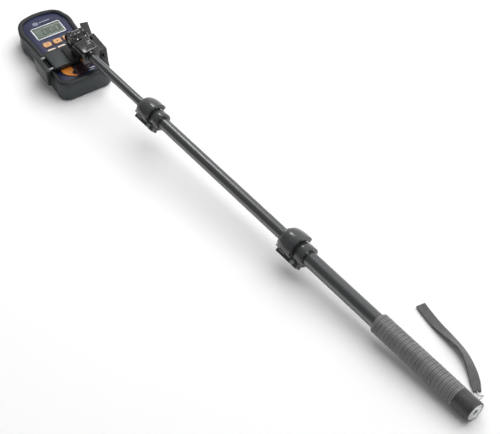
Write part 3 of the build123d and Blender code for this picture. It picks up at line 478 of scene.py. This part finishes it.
# Woven nylon webbing: mid grey, plain weave about half a millimetre apart, fuzzy at the edges.
webbing, tree, shader = freshMaterial("wovenWebbing", {"Roughness": 0.82, "Sheen Weight": 0.35})
weaveMap = addNode(tree, "UVMap", uv_map="weave").outputs["UV"]
threadScale = {"Scale": strap["waveShare"] / (strap["thread"] * mm)}
warp = addNode(tree, "TexWave", threadScale, {"Vector": weaveMap}, bands_direction="X")
weft = addNode(tree, "TexWave", threadScale, {"Vector": weaveMap}, bands_direction="Y")
crossing = addNode(tree, "Math", {}, {0: warp.outputs["Fac"], 1: weft.outputs["Fac"]}, operation="MULTIPLY")
fuzz = addNode(tree, "TexNoise", {"Scale": strap["fuzz"], "Detail": 4.0}, {"Vector": weaveMap})
threadTone = addNode(tree, "MixRGB", {"Color1": linear("#3a3a3a"), "Color2": linear("#7a7a7a")},
                     {"Fac": crossing.outputs[0]})
worn = addNode(tree, "MapRange", {"From Min": 0.4, "From Max": 0.8, "To Max": 0.5},
               {"Value": fuzz.outputs["Fac"]})
wornTone = addNode(tree, "MixRGB", {"Color2": linear("#6a6a6a")},
                   {"Color1": threadTone.outputs[0], "Fac": worn.outputs["Result"]})
threadBump = addNode(tree, "Bump", {"Strength": 0.6, "Distance": strap["threadHeight"] * mm},
                     {"Height": crossing.outputs[0]})
tree.links.new(wornTone.outputs[0], shader.inputs["Base Color"])
tree.links.new(threadBump.outputs["Normal"], shader.inputs["Normal"])


def webbingSection():
    # two layers of webbing, one over the other, as (across, up) in mm
    half = strap["width"] / 2
    top = strap["layer"] + strap["gap"] / 2
    pinch = strap["gap"] / 2
    edge = strap["layer"] * strap["edgeShare"]
    right = [(half - strap["seam"], pinch), (half - strap["seamRound"], pinch), (half, pinch + edge),
             (half, top - edge), (half - strap["edgeRound"], top), (half / 2, top)]
    upper = right + [(0, top)] + [(-x, y) for x, y in reversed(right)]
    return upper + [(-x, -y) for x, y in upper]


guide = splineThrough("webbingGuide", strap["route"])
guideMesh = bpy.data.meshes.new_from_object(guide)
webbingPath = [v.co.copy() for v in guideMesh.vertices]
bpy.data.objects.remove(guide)
section = webbingSection()
webbingRings = []


def headingAt(i):
    return (webbingPath[min(i + 1, len(webbingPath) - 1)] - webbingPath[max(i - 1, 0)]).normalized()


# the strap is gathered where the cord holds it, and turned up on edge near its middle
for i, here in enumerate(webbingPath):
    heading = headingAt(i)
    across = Vector((heading.y, -heading.x, 0)).normalized()
    share = i / (len(webbingPath) - 1)
    roll = math.radians(strap["twist"]) * math.sin(math.pi * share) ** 2
    side = across * math.cos(roll) + Vector((0, 0, 1)) * math.sin(roll)
    up = heading.cross(side) * -1
    lift = abs(math.sin(roll)) * strap["width"] / 2
    gather = 1.0 - strap["gatherBy"] * max(0.0, 1 - share / strap["gatherOver"])
    webbingRings.append([here / mm + side * x * gather + up * y + Vector((0, 0, lift)) for x, y in section])
strapWebbing = stackRings(webbingRings)
layerMap = strapWebbing.data.uv_layers.new(name="weave")
lengthSoFar = [0.0]
for a, b in zip(webbingPath, webbingPath[1:]):
    lengthSoFar.append(lengthSoFar[-1] + (b - a).length)
for loop in strapWebbing.data.loops:
    spot = strapWebbing.data.vertices[loop.vertex_index].co
    near = min(range(len(webbingPath)), key=lambda k: (webbingPath[k] - spot).length)
    ahead = headingAt(near)
    off = spot - webbingPath[near]
    layerMap.data[loop.index].uv = (lengthSoFar[near], off.dot(Vector((ahead.y, -ahead.x, 0))))
settle(strapWebbing, "strapWebbing", Matrix.Identity(4), webbing, "handle", ["strap_webbing"], 40)
print("strap made")


tubes = {
    "innerTube": {"node": "inner_tube", "radius": 5.9, "from": 24.0, "to": 331.0, "body": "inner"},
    "middleTube": {"node": "middle_tube", "radius": 7.7, "from": 177.0, "to": 494.0, "body": "middle"},
    "outerTube": {"node": "outer_tube", "radius": 9.5, "from": 458.0, "to": 738.0, "body": "handle"}}
tubeShape = {"wall": 1.0, "edge": 0.3, "steps": 96}
for name, tube in tubes.items():
    outside, start, end, edge = tube["radius"], tube["from"], tube["to"], tubeShape["edge"]
    inside = outside - tubeShape["wall"]
    piece = turnProfile([(inside, start), (outside - edge, start), (outside, start + edge),
                         (outside, end - edge), (outside - edge, end), (inside, end), (inside, start)],
                        tubeShape["steps"])
    settle(piece, name, poleFrame, blackAnodised, tube["body"], [tube["node"]], 25)

grip = {"from": 604.0, "length": 124.0, "count": 24, "inside": 9.5, "foot": 11.1,
        "rib": [(11.1, 0.45), (11.3, 0.75), (12.3, 0.95), (12.6, 1.2), (12.7, 1.7), (12.55, 2.2),
                (11.95, 2.55), (11.8, 2.75), (11.95, 2.95), (12.55, 3.3), (12.7, 3.8), (12.6, 4.3),
                (12.3, 4.55), (11.3, 4.8)]}
gripPitch = grip["length"] / grip["count"]
oneRib = turnProfile([(grip["foot"], 0.0)] + grip["rib"] + [(grip["foot"], gripPitch)])
takeUp(oneRib)
row = oneRib.modifiers.new("row", "ARRAY")
row.count = grip["count"]
row.use_relative_offset = False
row.use_constant_offset = True
row.constant_offset_displace = (0, 0, gripPitch * mm)
row.use_merge_vertices = True
row.merge_threshold = 0.01 * mm
bpy.ops.object.modifier_apply(modifier="row")
lining = turnProfile([(grip["foot"], grip["length"]), (grip["inside"], grip["length"]),
                      (grip["inside"], 0.0), (grip["foot"], 0.0)])
ribbedGrip = joined([oneRib, lining])
bpy.ops.object.mode_set(mode="EDIT")
bpy.ops.mesh.select_all(action="SELECT")
bpy.ops.mesh.remove_doubles(threshold=0.01 * mm)
bpy.ops.mesh.normals_make_consistent(inside=False)
bpy.ops.object.mode_set(mode="OBJECT")
settle(ribbedGrip, "ribbedGrip", poleFrame @ Matrix.Translation((0, 0, grip["from"] * mm)), gripRubber,
       "handle", ["grip_sleeve"], 50)

# the cap with its two grooves, hollow behind, and the strap cord's hole through its side
capProfile = [(9.5, 728.0), (11.9, 728.0), (12.25, 728.35), (12.25, 733.0), (12.1, 733.3), (12.1, 733.7),
              (12.25, 734.0), (12.25, 751.3), (12.05, 751.8), (11.6, 752.0), (10.75, 752.0), (10.62, 751.85),
              (10.62, 750.0), (6.0, 750.0), (6.0, 738.0), (9.5, 738.0), (9.5, 728.0)]
cordHole = {"radius": 1.0, "depth": 9.0, "angle": math.radians(20.0), "out": 10.5, "along": 743.0}
endCap = turnProfile(capProfile, 96)
letGo()
bpy.ops.mesh.primitive_cylinder_add(vertices=24, radius=cordHole["radius"] * mm, depth=cordHole["depth"] * mm,
                                    location=(0, 0, 0))
drill = bpy.context.object
holeLine = Vector((math.cos(cordHole["angle"]), math.sin(cordHole["angle"]), 0))
holePlace = holeLine * cordHole["out"] * mm + Vector((0, 0, cordHole["along"] * mm))
drill.matrix_world = Matrix.Translation(holePlace) @ holeLine.to_track_quat("Z", "Y").to_matrix().to_4x4()
cutAway(endCap, drill)
settle(endCap, "endCap", poleFrame, capPlastic, "handle", ["end_cap"], 30)

# end disc with a rolled groove, a raised inner land and a threaded hole
thread = {"from": 738.0, "to": 750.4, "pitch": 1.27,
          "tooth": [(3.175, 0.0), (3.55, 0.45), (3.55, 0.6), (3.175, 1.05), (3.175, 1.25)]}
threadProfile = []
turn = thread["from"]
while turn < thread["to"]:
    threadProfile += [(radius, turn + rise) for radius, rise in thread["tooth"]]
    turn += thread["pitch"]
discProfile = [(3.3, 751.75), (3.9, 752.0), (5.6, 752.0), (5.8, 751.85), (6.1, 751.85), (6.3, 752.0),
               (8.2, 752.0), (8.35, 751.5), (9.0, 751.5), (9.15, 752.0), (10.2, 752.0), (10.55, 751.7),
               (10.55, 750.0), (6.0, 750.0), (6.0, 738.0), (3.175, 738.0)]
endDisc = turnProfile(threadProfile + discProfile, 72)
settle(endDisc, "endDisc", poleFrame, turnedAluminium, "handle", ["end_insert"], 30)
print("tubes, grip and cap made")


# Along the dome, s runs from -1 at its front edge to 1 at its rear one; round the tube, u runs from 0 at
# the hinge to 1 at the tip. Angles are in degrees.
lever = {"start": 2.0, "length": 25.0, "edge": 0.9, "rise": 4.6, "hingeTurn": 188.0, "tipTurn": 8.0,
         "hump": 0.45, "steep": 0.9, "rearStep": 0.2, "closeOver": 0.07, "leastOpen": 0.02, "endReach": 0.86,
         "archStart": 0.04, "archOver": 0.16, "archPower": 0.7, "lobe": 0.5, "lobeAt": 0.86, "lobeOver": 0.1,
         "core": 0.4, "sections": 48, "above": 30, "below": 10,
         "notchRadius": 4.1, "notchLength": 11.0, "notchStart": 9.0}
locks = {
    "upper": {"front": 165.0, "inside": 11.2, "hingeRadius": 13.8, "collarBody": "middle",
              "leverBody": "upper_lever"},
    "lower": {"front": 446.0, "inside": 13.0, "hingeRadius": 15.6, "collarBody": "handle",
              "leverBody": "lower_lever"}}
lockParts = {
    "collar": ("SplitCollar", 0.8, 3, lockPlastic, "lock_plastic"),
    "hinge_pin": ("HingePin", 0.2, 2, platedSteel, "steel"),
    "lock_screw": ("LockScrew", 0.3, 3, platedSteel, "steel"),
    "lock_nut": ("LockNut", 0.25, 2, platedSteel, "steel")}


def quarter(share):
    # a quarter circle's height: 0 at share 1, level at share 0
    return math.sqrt(max(0.0, 1 - share ** 2))


def leverHeight(s):
    # a long dome from the front edge up to a hump, which ends steeply on the grip's side
    if s < lever["hump"]:
        return quarter((lever["hump"] - s) / (1 + lever["hump"]))
    if s < lever["steep"]:
        return 1.0
    return quarter((s - lever["steep"]) / (1 - lever["steep"])) * (1 - lever["rearStep"]) + lever["rearStep"]


def leverRing(inside, u):
    turn = math.radians(lever["hingeTurn"] - u * (lever["hingeTurn"] - lever["tipTurn"]))
    closing = 1.0
    if u < lever["closeOver"]:
        closing = quarter(1 - u / lever["closeOver"])
    if u > 1 - lever["closeOver"]:
        closing = quarter((u - 1 + lever["closeOver"]) / lever["closeOver"])
    closing = max(closing, lever["leastOpen"])
    reach = lever["length"] / 2 * (lever["endReach"] + (1 - lever["endReach"]) * closing)
    arch = min(1.0, (u + lever["archStart"]) / lever["archOver"]) ** lever["archPower"]
    rise = lever["rise"] * arch + lever["lobe"] * math.exp(-((u - lever["lobeAt"]) / lever["lobeOver"]) ** 2)
    middle = inside + (lever["edge"] + rise) * lever["core"]
    ring = []
    for k in range(lever["above"] + lever["below"]):
        if k < lever["above"]:
            s = k / (lever["above"] - 1) * 2 - 1
            radius = inside + lever["edge"] + rise * leverHeight(s)
        else:
            s = 1 - (k - lever["above"] + 0.5) / lever["below"] * 2
            radius = inside
        radius = middle + (radius - middle) * closing
        ring.append((radius * math.cos(turn), radius * math.sin(turn),
                     lever["start"] + lever["length"] / 2 + s * reach))
    return ring


for which, lock in locks.items():
    place = poleFrame @ Matrix.Translation((0, 0, lock["front"] * mm))
    domed = stackRings([leverRing(lock["inside"], step / lever["sections"])
                        for step in range(lever["sections"] + 1)])
    bpy.ops.mesh.primitive_cylinder_add(
        vertices=32, radius=lever["notchRadius"] * mm, depth=lever["notchLength"] * mm,
        location=(-lock["hingeRadius"] * mm, 0, (lever["notchStart"] + lever["notchLength"] / 2) * mm))
    cutAway(domed, bpy.context.object)
    settle(domed, which + "DomedLever", place, lockPlastic, lock["leverBody"],
           [which + "_lever"], 40)
    for part, (title, width, segments, material, slot) in lockParts.items():
        node = which + "_" + part
        settle(softened(node, width, segments), which + title, Matrix.Identity(4), material,
               lock["collarBody"], [node])
print("locks made")


# each piece: its CAD node, the width of its rounded edges in mm, material, body and slot
softCopies = {
    "poleHead": ("pole_head", 0.7, headPlastic, "inner", "head_plastic"),
    "swivelFork": ("swivel_fork", 0.5, headPlastic, "swivel", "head_plastic"),
    "tiltNut": ("tilt_nut", 0.3, platedSteel, "swivel", "steel"),
    "clampBody": ("clamp_body", 0.6, clampPlastic, "clamp", "clamp_plastic"),
    "clampCover": ("clamp_cover", 0.35, coverPlastic, "clamp", "cover_plastic"),
    "fixedJaw": ("fixed_jaw", 0.6, clampPlastic, "clamp", "clamp_plastic"),
    "movingJaw": ("moving_jaw", 0.6, jawPlastic, "jaw", "clamp_plastic"),
    "fixedPad": ("fixed_pad", 0.3, padRubber, "clamp", "pad_rubber"),
    "movingPad": ("moving_pad", 0.3, padRubber, "jaw", "pad_rubber"),
    "guideRods": ("guide_rods", 0.25, platedSteel, "jaw", "steel"),
    "armPin": ("arm_pin", 0.25, platedSteel, "clamp", "steel"),
    "lockingArm": ("locking_arm", 0.5, headPlastic, "arm", "clamp_plastic")}
for name, (node, width, material, body, slot) in softCopies.items():
    settle(softened(node, width), name, Matrix.Identity(4), material, body, [node])

wheel = {"start": 8.6, "thick": 6.5, "radius": 14.0, "notches": 18, "notch": 1.25, "perNotch": 8,
         "sharpness": 1.5}


def wheelRing(radius, height, deep):
    ring = []
    count = wheel["notches"] * wheel["perNotch"]
    for k in range(count):
        turn = 2 * math.pi * k / count
        wave = max(0.0, math.cos(turn * wheel["notches"])) ** wheel["sharpness"]
        r = radius - deep * wave
        ring.append((r * math.cos(turn), r * math.sin(turn), height))
    return ring


low, high, full, notch = wheel["start"], wheel["start"] + wheel["thick"], wheel["radius"], wheel["notch"]
thumbWheel = stackRings([wheelRing(*ring) for ring in (
    (3.05, low, 0), (12.2, low, 0), (full - 0.7, low + 0.1, 1.0), (full - 0.1, low + 0.6, notch),
    (full, low + 1.1, notch), (full, high - 1.3, notch), (full - 0.15, high - 0.8, notch),
    (full - 0.9, high - 0.15, 1.0), (full - 1.7, high, 0.5), (11.4, high, 0), (11.0, high - 0.25, 0),
    (10.6, high - 1.1, 0), (6.6, high - 1.1, 0), (6.2, high - 0.9, 0), (5.9, high - 0.2, 0),
    (5.5, high, 0), (3.2, high, 0), (3.05, high - 0.15, 0), (3.05, low, 0))])
settle(thumbWheel, "thumbWheel", tiltFrame, headPlastic, "tilt_knob", ["thumb_wheel"], 35)
settle(softened("tilt_bolt", 0.3), "tiltBolt", Matrix.Identity(4), platedSteel, "tilt_knob",
       ["tilt_bolt"])
print("head and clamp made")


meter = {"length": 166.0, "width": 77.0, "waist": 72.0, "flatY": 20.0, "flatIn": 3.5, "shoulderX": 22.0,
         "shoulderIn": 3.3, "corner": 15.0, "widestX": -50.0, "widestIn": 0.35, "hipX": -36.0, "hipIn": 0.9,
         "grooves": (-41.0, -34.0, -27.0), "grooveWidth": 1.7, "endSteps": 8,
         "arcSteps": {"flat": 14, "nose": 18, "shoulder": 20, "waist": 60, "heel": 14}}


def arcPoints(a, b, c, part):
    # points on the arc from a through b to c, without c itself
    (ax, ay), (bx, by), (cx, cy) = a, b, c
    d = 2 * (ax * (by - cy) + bx * (cy - ay) + cx * (ay - by))
    ux = ((ax**2 + ay**2) * (by - cy) + (bx**2 + by**2) * (cy - ay) + (cx**2 + cy**2) * (ay - by)) / d
    uy = ((ax**2 + ay**2) * (cx - bx) + (bx**2 + by**2) * (ax - cx) + (cx**2 + cy**2) * (bx - ax)) / d
    start, mid, end = (math.atan2(p[1] - uy, p[0] - ux) for p in (a, b, c))
    around = (end - start) % (2 * math.pi)
    if (mid - start) % (2 * math.pi) > around:
        around -= 2 * math.pi
    radius = math.hypot(ax - ux, ay - uy)
    count = meter["arcSteps"][part]
    turns = [start + around * k / count for k in range(count)]
    return [(ux + radius * math.cos(turn), uy + radius * math.sin(turn)) for turn in turns]


def meterHalf():
    halfLength, halfWidth = meter["length"] / 2, meter["width"] / 2
    corner = meter["corner"]
    cut = corner * (1 - math.sqrt(0.5))
    shoulder = (meter["shoulderX"] - halfLength, halfWidth - meter["shoulderIn"])
    hip = (meter["hipX"], halfWidth - meter["hipIn"])
    heel = (halfLength - corner, halfWidth)
    flatEnd = (meter["flatIn"] - halfLength, meter["flatY"])
    flatMiddle = (meter["flatIn"] / 4 - halfLength, meter["flatY"] / 2)
    # the nose's corner leaves its flat end in the same direction
    flatRadius = (meter["flatY"] ** 2 + meter["flatIn"] ** 2) / (2 * meter["flatIn"])
    lean = math.asin(meter["flatY"] / flatRadius)
    chord = Vector(shoulder) - Vector(flatEnd)
    bow = chord.length / 2 * math.tan((math.atan2(chord.x, chord.y) - lean) / 2)
    cornerMiddle = (Vector(flatEnd) + Vector(shoulder)) / 2 + Vector((-chord.y, chord.x)).normalized() * bow
    points = arcPoints((-halfLength, 0), flatMiddle, flatEnd, "flat")
    points += arcPoints(flatEnd, tuple(cornerMiddle), shoulder, "nose")
    points += arcPoints(shoulder, (meter["widestX"], halfWidth - meter["widestIn"]), hip, "shoulder")
    points += arcPoints(hip, ((heel[0] + hip[0]) / 2, meter["waist"] / 2), heel, "waist")
    points += arcPoints(heel, (halfLength - cut, halfWidth - cut), (halfLength, halfWidth - corner), "heel")
    steps = meter["endSteps"]
    return points + [(halfLength, (halfWidth - corner) * (1 - k / steps)) for k in range(steps + 1)]


meterSide = meterHalf()
outlinePoints = meterSide + [(x, -y) for x, y in meterSide[-2:0:-1]]
# the outward directions, from each point's neighbours, so that they are the same all the way round
outlineOut = []
for k in range(len(outlinePoints)):
    (px, py), (qx, qy) = outlinePoints[k - 1], outlinePoints[(k + 1) % len(outlinePoints)]
    size = math.hypot(qx - px, qy - py)
    outlineOut.append(((py - qy) / size, (qx - px) / size))


def meterRing(inset, height, groove=0.0):
    ring = []
    for (x, y), (ox, oy) in zip(outlinePoints, outlineOut):
        deep = inset
        if groove:
            for centre in meter["grooves"]:
                deep += groove * math.exp(-((x - centre) / meter["grooveWidth"]) ** 4)
        ring.append((x - ox * deep, y - oy * deep, height))
    return ring


# inset from the outline, height and depth of the side grooves, from the recess up over the lip and down
boot = stackRings([meterRing(*ring) for ring in (
    (3.1, 2.6), (3.1, 27.85), (7.2, 27.85), (7.2, 28.3), (6.95, 29.0), (6.2, 29.6), (4.8, 29.95),
    (3.0, 30.0), (1.7, 29.8), (0.8, 29.1), (0.2, 28.0), (0.0, 26.6), (0.0, 24.6), (0.2, 24.1),
    (0.55, 23.7, 0.2), (0.6, 22.6, 0.9), (0.6, 21.8, 1.1), (0.6, 8.2, 1.1), (0.6, 7.4, 0.9),
    (0.5, 6.4, 0.2), (0.25, 5.9), (0.1, 5.4), (0.1, 3.0), (0.5, 1.3), (1.3, 0.4), (3.0, 0.0))])
settle(boot, "rubberBoot", meterFrame, bootRubber, "clamp", ["boot"], 40)
settle(softened("face_label", 0.1, 2), "faceFilm", Matrix.Identity(4), faceFilm, "clamp",
       ["face_label"], 30)


def plate(x, y, length, width, bottom, top, corner=0.0, soft=0.0):
    # a flat plate in the meter's frame, with rounded corners and softened edges where they are asked for
    letGo()
    bpy.ops.mesh.primitive_plane_add(size=1, location=(x * mm, y * mm, bottom * mm))
    piece = bpy.context.object
    piece.scale = (length * mm, width * mm, 1)
    bpy.ops.object.transform_apply(location=True, rotation=True, scale=True)
    bpy.ops.object.mode_set(mode="EDIT")
    bpy.ops.mesh.select_all(action="SELECT")
    if corner:
        bpy.ops.mesh.bevel(offset=corner * mm, segments=5, affect="VERTICES")
        bpy.ops.mesh.select_all(action="SELECT")
    bpy.ops.mesh.extrude_region_move(TRANSFORM_OT_translate={"value": (0, 0, (top - bottom) * mm)})
    bpy.ops.mesh.select_all(action="SELECT")
    bpy.ops.mesh.normals_make_consistent(inside=False)
    bpy.ops.object.mode_set(mode="OBJECT")
    if soft:
        edge = piece.modifiers.new("edge", "BEVEL")
        edge.width = soft * mm
        edge.segments = 2
        edge.limit_method = "ANGLE"
        edge.angle_limit = math.radians(50)
        bpy.ops.object.modifier_apply(modifier="edge")
    return piece


display = {"x": -38.0, "long": 28.0, "wide": 43.0, "border": 1.5, "panelIn": 2.8, "panelBottom": 26.3,
           "panelTop": 27.55, "panelSoft": 0.1, "frameBottom": 27.9, "frameTop": 28.25, "frameSoft": 0.12}
lcd = plate(display["x"], 0, display["long"] - display["panelIn"], display["wide"] - display["panelIn"],
            display["panelBottom"], display["panelTop"], soft=display["panelSoft"])
settle(lcd, "lcdPanel", meterFrame, lcdPanel, "clamp", ["display_window"], 30)
frameBars = []
for sign in (-1, 1):
    endX = display["x"] + sign * (display["long"] - display["border"]) / 2
    sideY = sign * (display["wide"] - display["border"]) / 2
    for x, y, long, wide in ((endX, 0, display["border"], display["wide"]),
                             (display["x"], sideY, display["long"], display["border"])):
        frameBars.append(plate(x, y, long, wide, display["frameBottom"], display["frameTop"],
                               soft=display["frameSoft"]))
settle(joined(frameBars), "displayFrame", meterFrame, whiteInk, "clamp", (), 30)

# digits of six-sided bars, with a point and three small bars; up the display is -X, left to right is +Y
segments = {"a": (0, 1, False), "b": (1, 0.5, True), "c": (1, -0.5, True), "d": (0, -1, False),
            "e": (-1, -0.5, True), "f": (-1, 0.5, True)}
shapes = {"0": "abcdef"}
digits = {"text": "00.0", "height": 12.5, "width": 6.4, "step": 9.2, "bar": 1.15, "start": -5.2,
          "slant": 0.08, "gap": 0.5, "thick": 0.06, "point": 1.6, "sign": 3.4,
          "signs": [(16.6, 4.5), (16.6, 0.0), (16.6, -4.5)]}


def segmentBar(across, up, length, upright=False):
    letGo()
    bpy.ops.mesh.primitive_circle_add(vertices=6, radius=1, fill_type="NGON", location=(0, 0, 0))
    piece = bpy.context.object
    h, w = length / 2, digits["bar"] / 2
    corners = [(-h, 0), (-h + w, w), (h - w, w), (h, 0), (h - w, -w), (-h + w, -w)]
    for v, (p, q) in zip(piece.data.vertices, corners):
        a, b = (q, p) if upright else (p, q)
        a, b = a + across, b + up
        v.co = Vector((display["x"] - b, a + digits["slant"] * b, display["panelTop"])) * mm
    bpy.ops.object.mode_set(mode="EDIT")
    bpy.ops.mesh.select_all(action="SELECT")
    bpy.ops.mesh.extrude_region_move(TRANSFORM_OT_translate={"value": (0, 0, digits["thick"] * mm)})
    bpy.ops.mesh.select_all(action="SELECT")
    bpy.ops.mesh.normals_make_consistent(inside=False)
    bpy.ops.object.mode_set(mode="OBJECT")
    return piece


bars = []
column = digits["start"]
for mark in digits["text"]:
    if mark == ".":
        bars.append(segmentBar(column - digits["step"] / 2, -digits["height"] / 2, digits["point"]))
        continue
    for letter in shapes[mark]:
        sx, sy, upright = segments[letter]
        length = (digits["height"] / 2 if upright else digits["width"]) - digits["gap"]
        bars.append(segmentBar(column + sx * digits["width"] / 2, sy * digits["height"] / 2, length, upright))
    column += digits["step"]
for across, up in digits["signs"]:
    bars.append(segmentBar(across, up, digits["sign"]))
settle(joined(bars), "lcdDigits", meterFrame, lcdInk, "clamp", (), 30)

# generic print on the film: a ring and bar over the display, bars by the dial
inks = {"bottom": 28.0, "top": 28.06, "bar": (-60.5, 3.8, 1.5, 15.5), "barCorner": 0.5,
        "ringX": -60.3, "ringY": -9.5, "rings": (1.3, 2.6, 3.9), "ringWidth": 0.65,
        "scaleBar": (67.6, 16.0, 1.5, 9.5), "scaleCorner": 0.3, "ticks": 4, "tickX": 72.2, "tickY": 9.0,
        "tickLean": 0.2, "tickStep": 1.9, "tickLong": 1.4, "tickGrow": 0.4, "tickWide": 0.7}
prints = [plate(*inks["bar"], inks["bottom"], inks["top"], inks["barCorner"])]
for outer in inks["rings"]:
    inner = max(0.0, outer - inks["ringWidth"])
    ring = turnProfile([(inner, inks["bottom"]), (outer, inks["bottom"]), (outer, inks["top"]),
                        (inner, inks["top"]), (inner, inks["bottom"])], 40)
    ring.location = (inks["ringX"] * mm, inks["ringY"] * mm, 0)
    takeUp(ring)
    bpy.ops.object.transform_apply(location=True, rotation=False, scale=False)
    prints.append(ring)
settle(joined(prints), "printedMark", meterFrame, paleInk, "clamp", (), 30)

marks = [plate(*inks["scaleBar"], inks["bottom"], inks["top"], inks["scaleCorner"])]
for n in range(inks["ticks"]):
    marks.append(plate(inks["tickX"] - n * inks["tickLean"], inks["tickY"] + n * inks["tickStep"],
                       inks["tickLong"] + n * inks["tickGrow"], inks["tickWide"],
                       inks["bottom"], inks["top"]))
settle(joined(marks), "printedScale", meterFrame, whiteInk, "clamp", (), 30)

# "crown" is how much shorter and narrower a key is, and how far over its top, from ring to ring
keys = {"long": 10.0, "wide": 12.0, "top": 29.2, "bottom": 25.2, "flange": 0.6, "flangeOut": 2.0,
        "crown": [(0.0, -0.6), (0.25, -0.25), (0.9, -0.02), (2.6, 0.06)], "middle": (3.0, 4.0),
        "steps": 48, "roundness": 0.42, "rows": (-9.0, 7.5), "columns": (-15.0, 0.0, 15.0),
        "orange": (1, 2, 3), "signLift": 0.03, "signThick": 0.06, "ringSign": (1.3, 1.8), "arrowSign": 1.9,
        "barSign": (0.9, 0.6, 3.6)}


def keyRing(x, y, long, wide, height):
    ring = []
    for k in range(keys["steps"]):
        turn = 2 * math.pi * k / keys["steps"]
        c, s = math.cos(turn), math.sin(turn)
        ring.append((x + long / 2 * math.copysign(abs(c) ** keys["roundness"], c),
                     y + wide / 2 * math.copysign(abs(s) ** keys["roundness"], s), height))
    return ring


def keySign(number, bottom):
    # a ring, an arrow or two bars, the same in both rows
    top = bottom + keys["signThick"]
    if number % 3 == 1:
        inner, outer = keys["ringSign"]
        return turnProfile([(inner, bottom), (outer, bottom), (outer, top), (inner, top),
                            (inner, bottom)], 32)
    if number % 3 == 2:
        letGo()
        bpy.ops.mesh.primitive_cylinder_add(vertices=3, radius=keys["arrowSign"] * mm, location=(0, 0, 0),
                                            depth=keys["signThick"] * mm)
        bpy.context.object.location.z = (bottom + top) / 2 * mm
        return bpy.context.object
    apart, long, wide = keys["barSign"]
    return joined([plate(apart, 0, long, wide, bottom, top), plate(-apart, 0, long, wide, bottom, top)])


places = [(rowX, columnY) for rowX in keys["rows"] for columnY in keys["columns"]]
for number, (x, y) in enumerate(places, 1):
    long, wide, button = keys["long"], keys["wide"], f"button_{number}"
    flange = (long + keys["flangeOut"], wide + keys["flangeOut"])
    rings = [keyRing(x, y, *flange, keys["bottom"] - keys["flange"]), keyRing(x, y, *flange, keys["bottom"]),
             keyRing(x, y, long, wide, keys["bottom"])]
    rings += [keyRing(x, y, long - less, wide - less, keys["top"] + over) for less, over in keys["crown"]]
    key = stackRings(rings + [keyRing(x, y, *keys["middle"], keys["top"])])
    settle(key, f"key{number}", meterFrame, keyRubber if number in keys["orange"] else paleKeyRubber, button,
           [button], 40)
    sign = keySign(number, keys["top"] + keys["signLift"])
    sign.location.x, sign.location.y = x * mm, y * mm
    settle(sign, f"keySign{number}", meterFrame, darkInk, button, (), 30)

# the dial's right-hand part, up to "shadeFrom", is covered by a dark sheet, a painted shadow of the clamp; a
# round insert and a raised bar across take the same dark
dial = {"x": 54.0, "y": -4.0,
        "profile": [(0, 25.0), (4.0, 25.0), (4.0, 28.3), (18.6, 28.3), (19.6, 28.4), (20.0, 28.7),
                    (20.0, 29.1), (19.8, 29.35), (19.2, 29.5), (16.8, 29.5), (16.5, 29.35), (16.0, 29.35),
                    (15.7, 29.5), (0, 29.5)],
        "bar": (0, 0, 34.0, 8.4, 29.4, 29.9, 4.1, 0.35),
        "shadeFrom": -5.0, "shadeSteps": 64, "shade": [(20.1, 28.4), (20.1, 29.4), (19.6, 29.7)],
        "eyeX": 12.5, "eyeY": -4.6,
        "eye": [(0, 29.45), (4.6, 29.45), (4.6, 29.8), (4.3, 30.0), (3.3, 30.05), (2.6, 29.85), (0, 29.8)]}
dialBody = turnProfile(dial["profile"], 96)
dialBar = plate(*dial["bar"])
dialFrame = meterFrame @ Matrix.Translation((dial["x"] * mm, dial["y"] * mm, 0))
settle(dialBody, "rangeDial", dialFrame, dialPlastic, "dial", ["dial"], 35)
# dark sheet, round eye and bar over the dial: painted shadow of the clamp
shadeTurns = [2 * math.pi * k / dial["shadeSteps"] for k in range(dial["shadeSteps"])]
dialShade = stackRings([[(radius * math.cos(turn), max(radius * math.sin(turn), dial["shadeFrom"]), height)
                         for turn in shadeTurns] for radius, height in dial["shade"]])
dialEye = turnProfile(dial["eye"], 48)
dialEye.location = (dial["eyeX"] * mm, dial["eyeY"] * mm, 0)
settle(joined([dialShade, dialEye, dialBar]), "dialPaintedShadow", dialFrame, dialShadowMaterial, "dial",
       (), 35)
print("meter made")


# CAD pieces that keep their own shape, most of them inside
kept = {
    "inner_plug": bushPlastic, "middle_plug": bushPlastic, "upper_bush": bushPlastic,
    "lower_bush": bushPlastic, "pan_nut": platedSteel, "pan_screw": platedSteel, "jaw_spring": platedSteel,
    "rear_case": casePlastic, "front_case": casePlastic, "battery_cover": casePlastic, "batteries": cellWrap,
    "case_screws": platedSteel, "display_module": casePlastic, "circuit_board": boardFibre,
    "button_domes": springBrass, "dial_rotor": bushPlastic, "search_coil": copperWire, "buzzer": capPlastic}
for node, material in kept.items():
    dress(node, material)
print("inner pieces given their materials")

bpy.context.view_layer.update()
letGo()
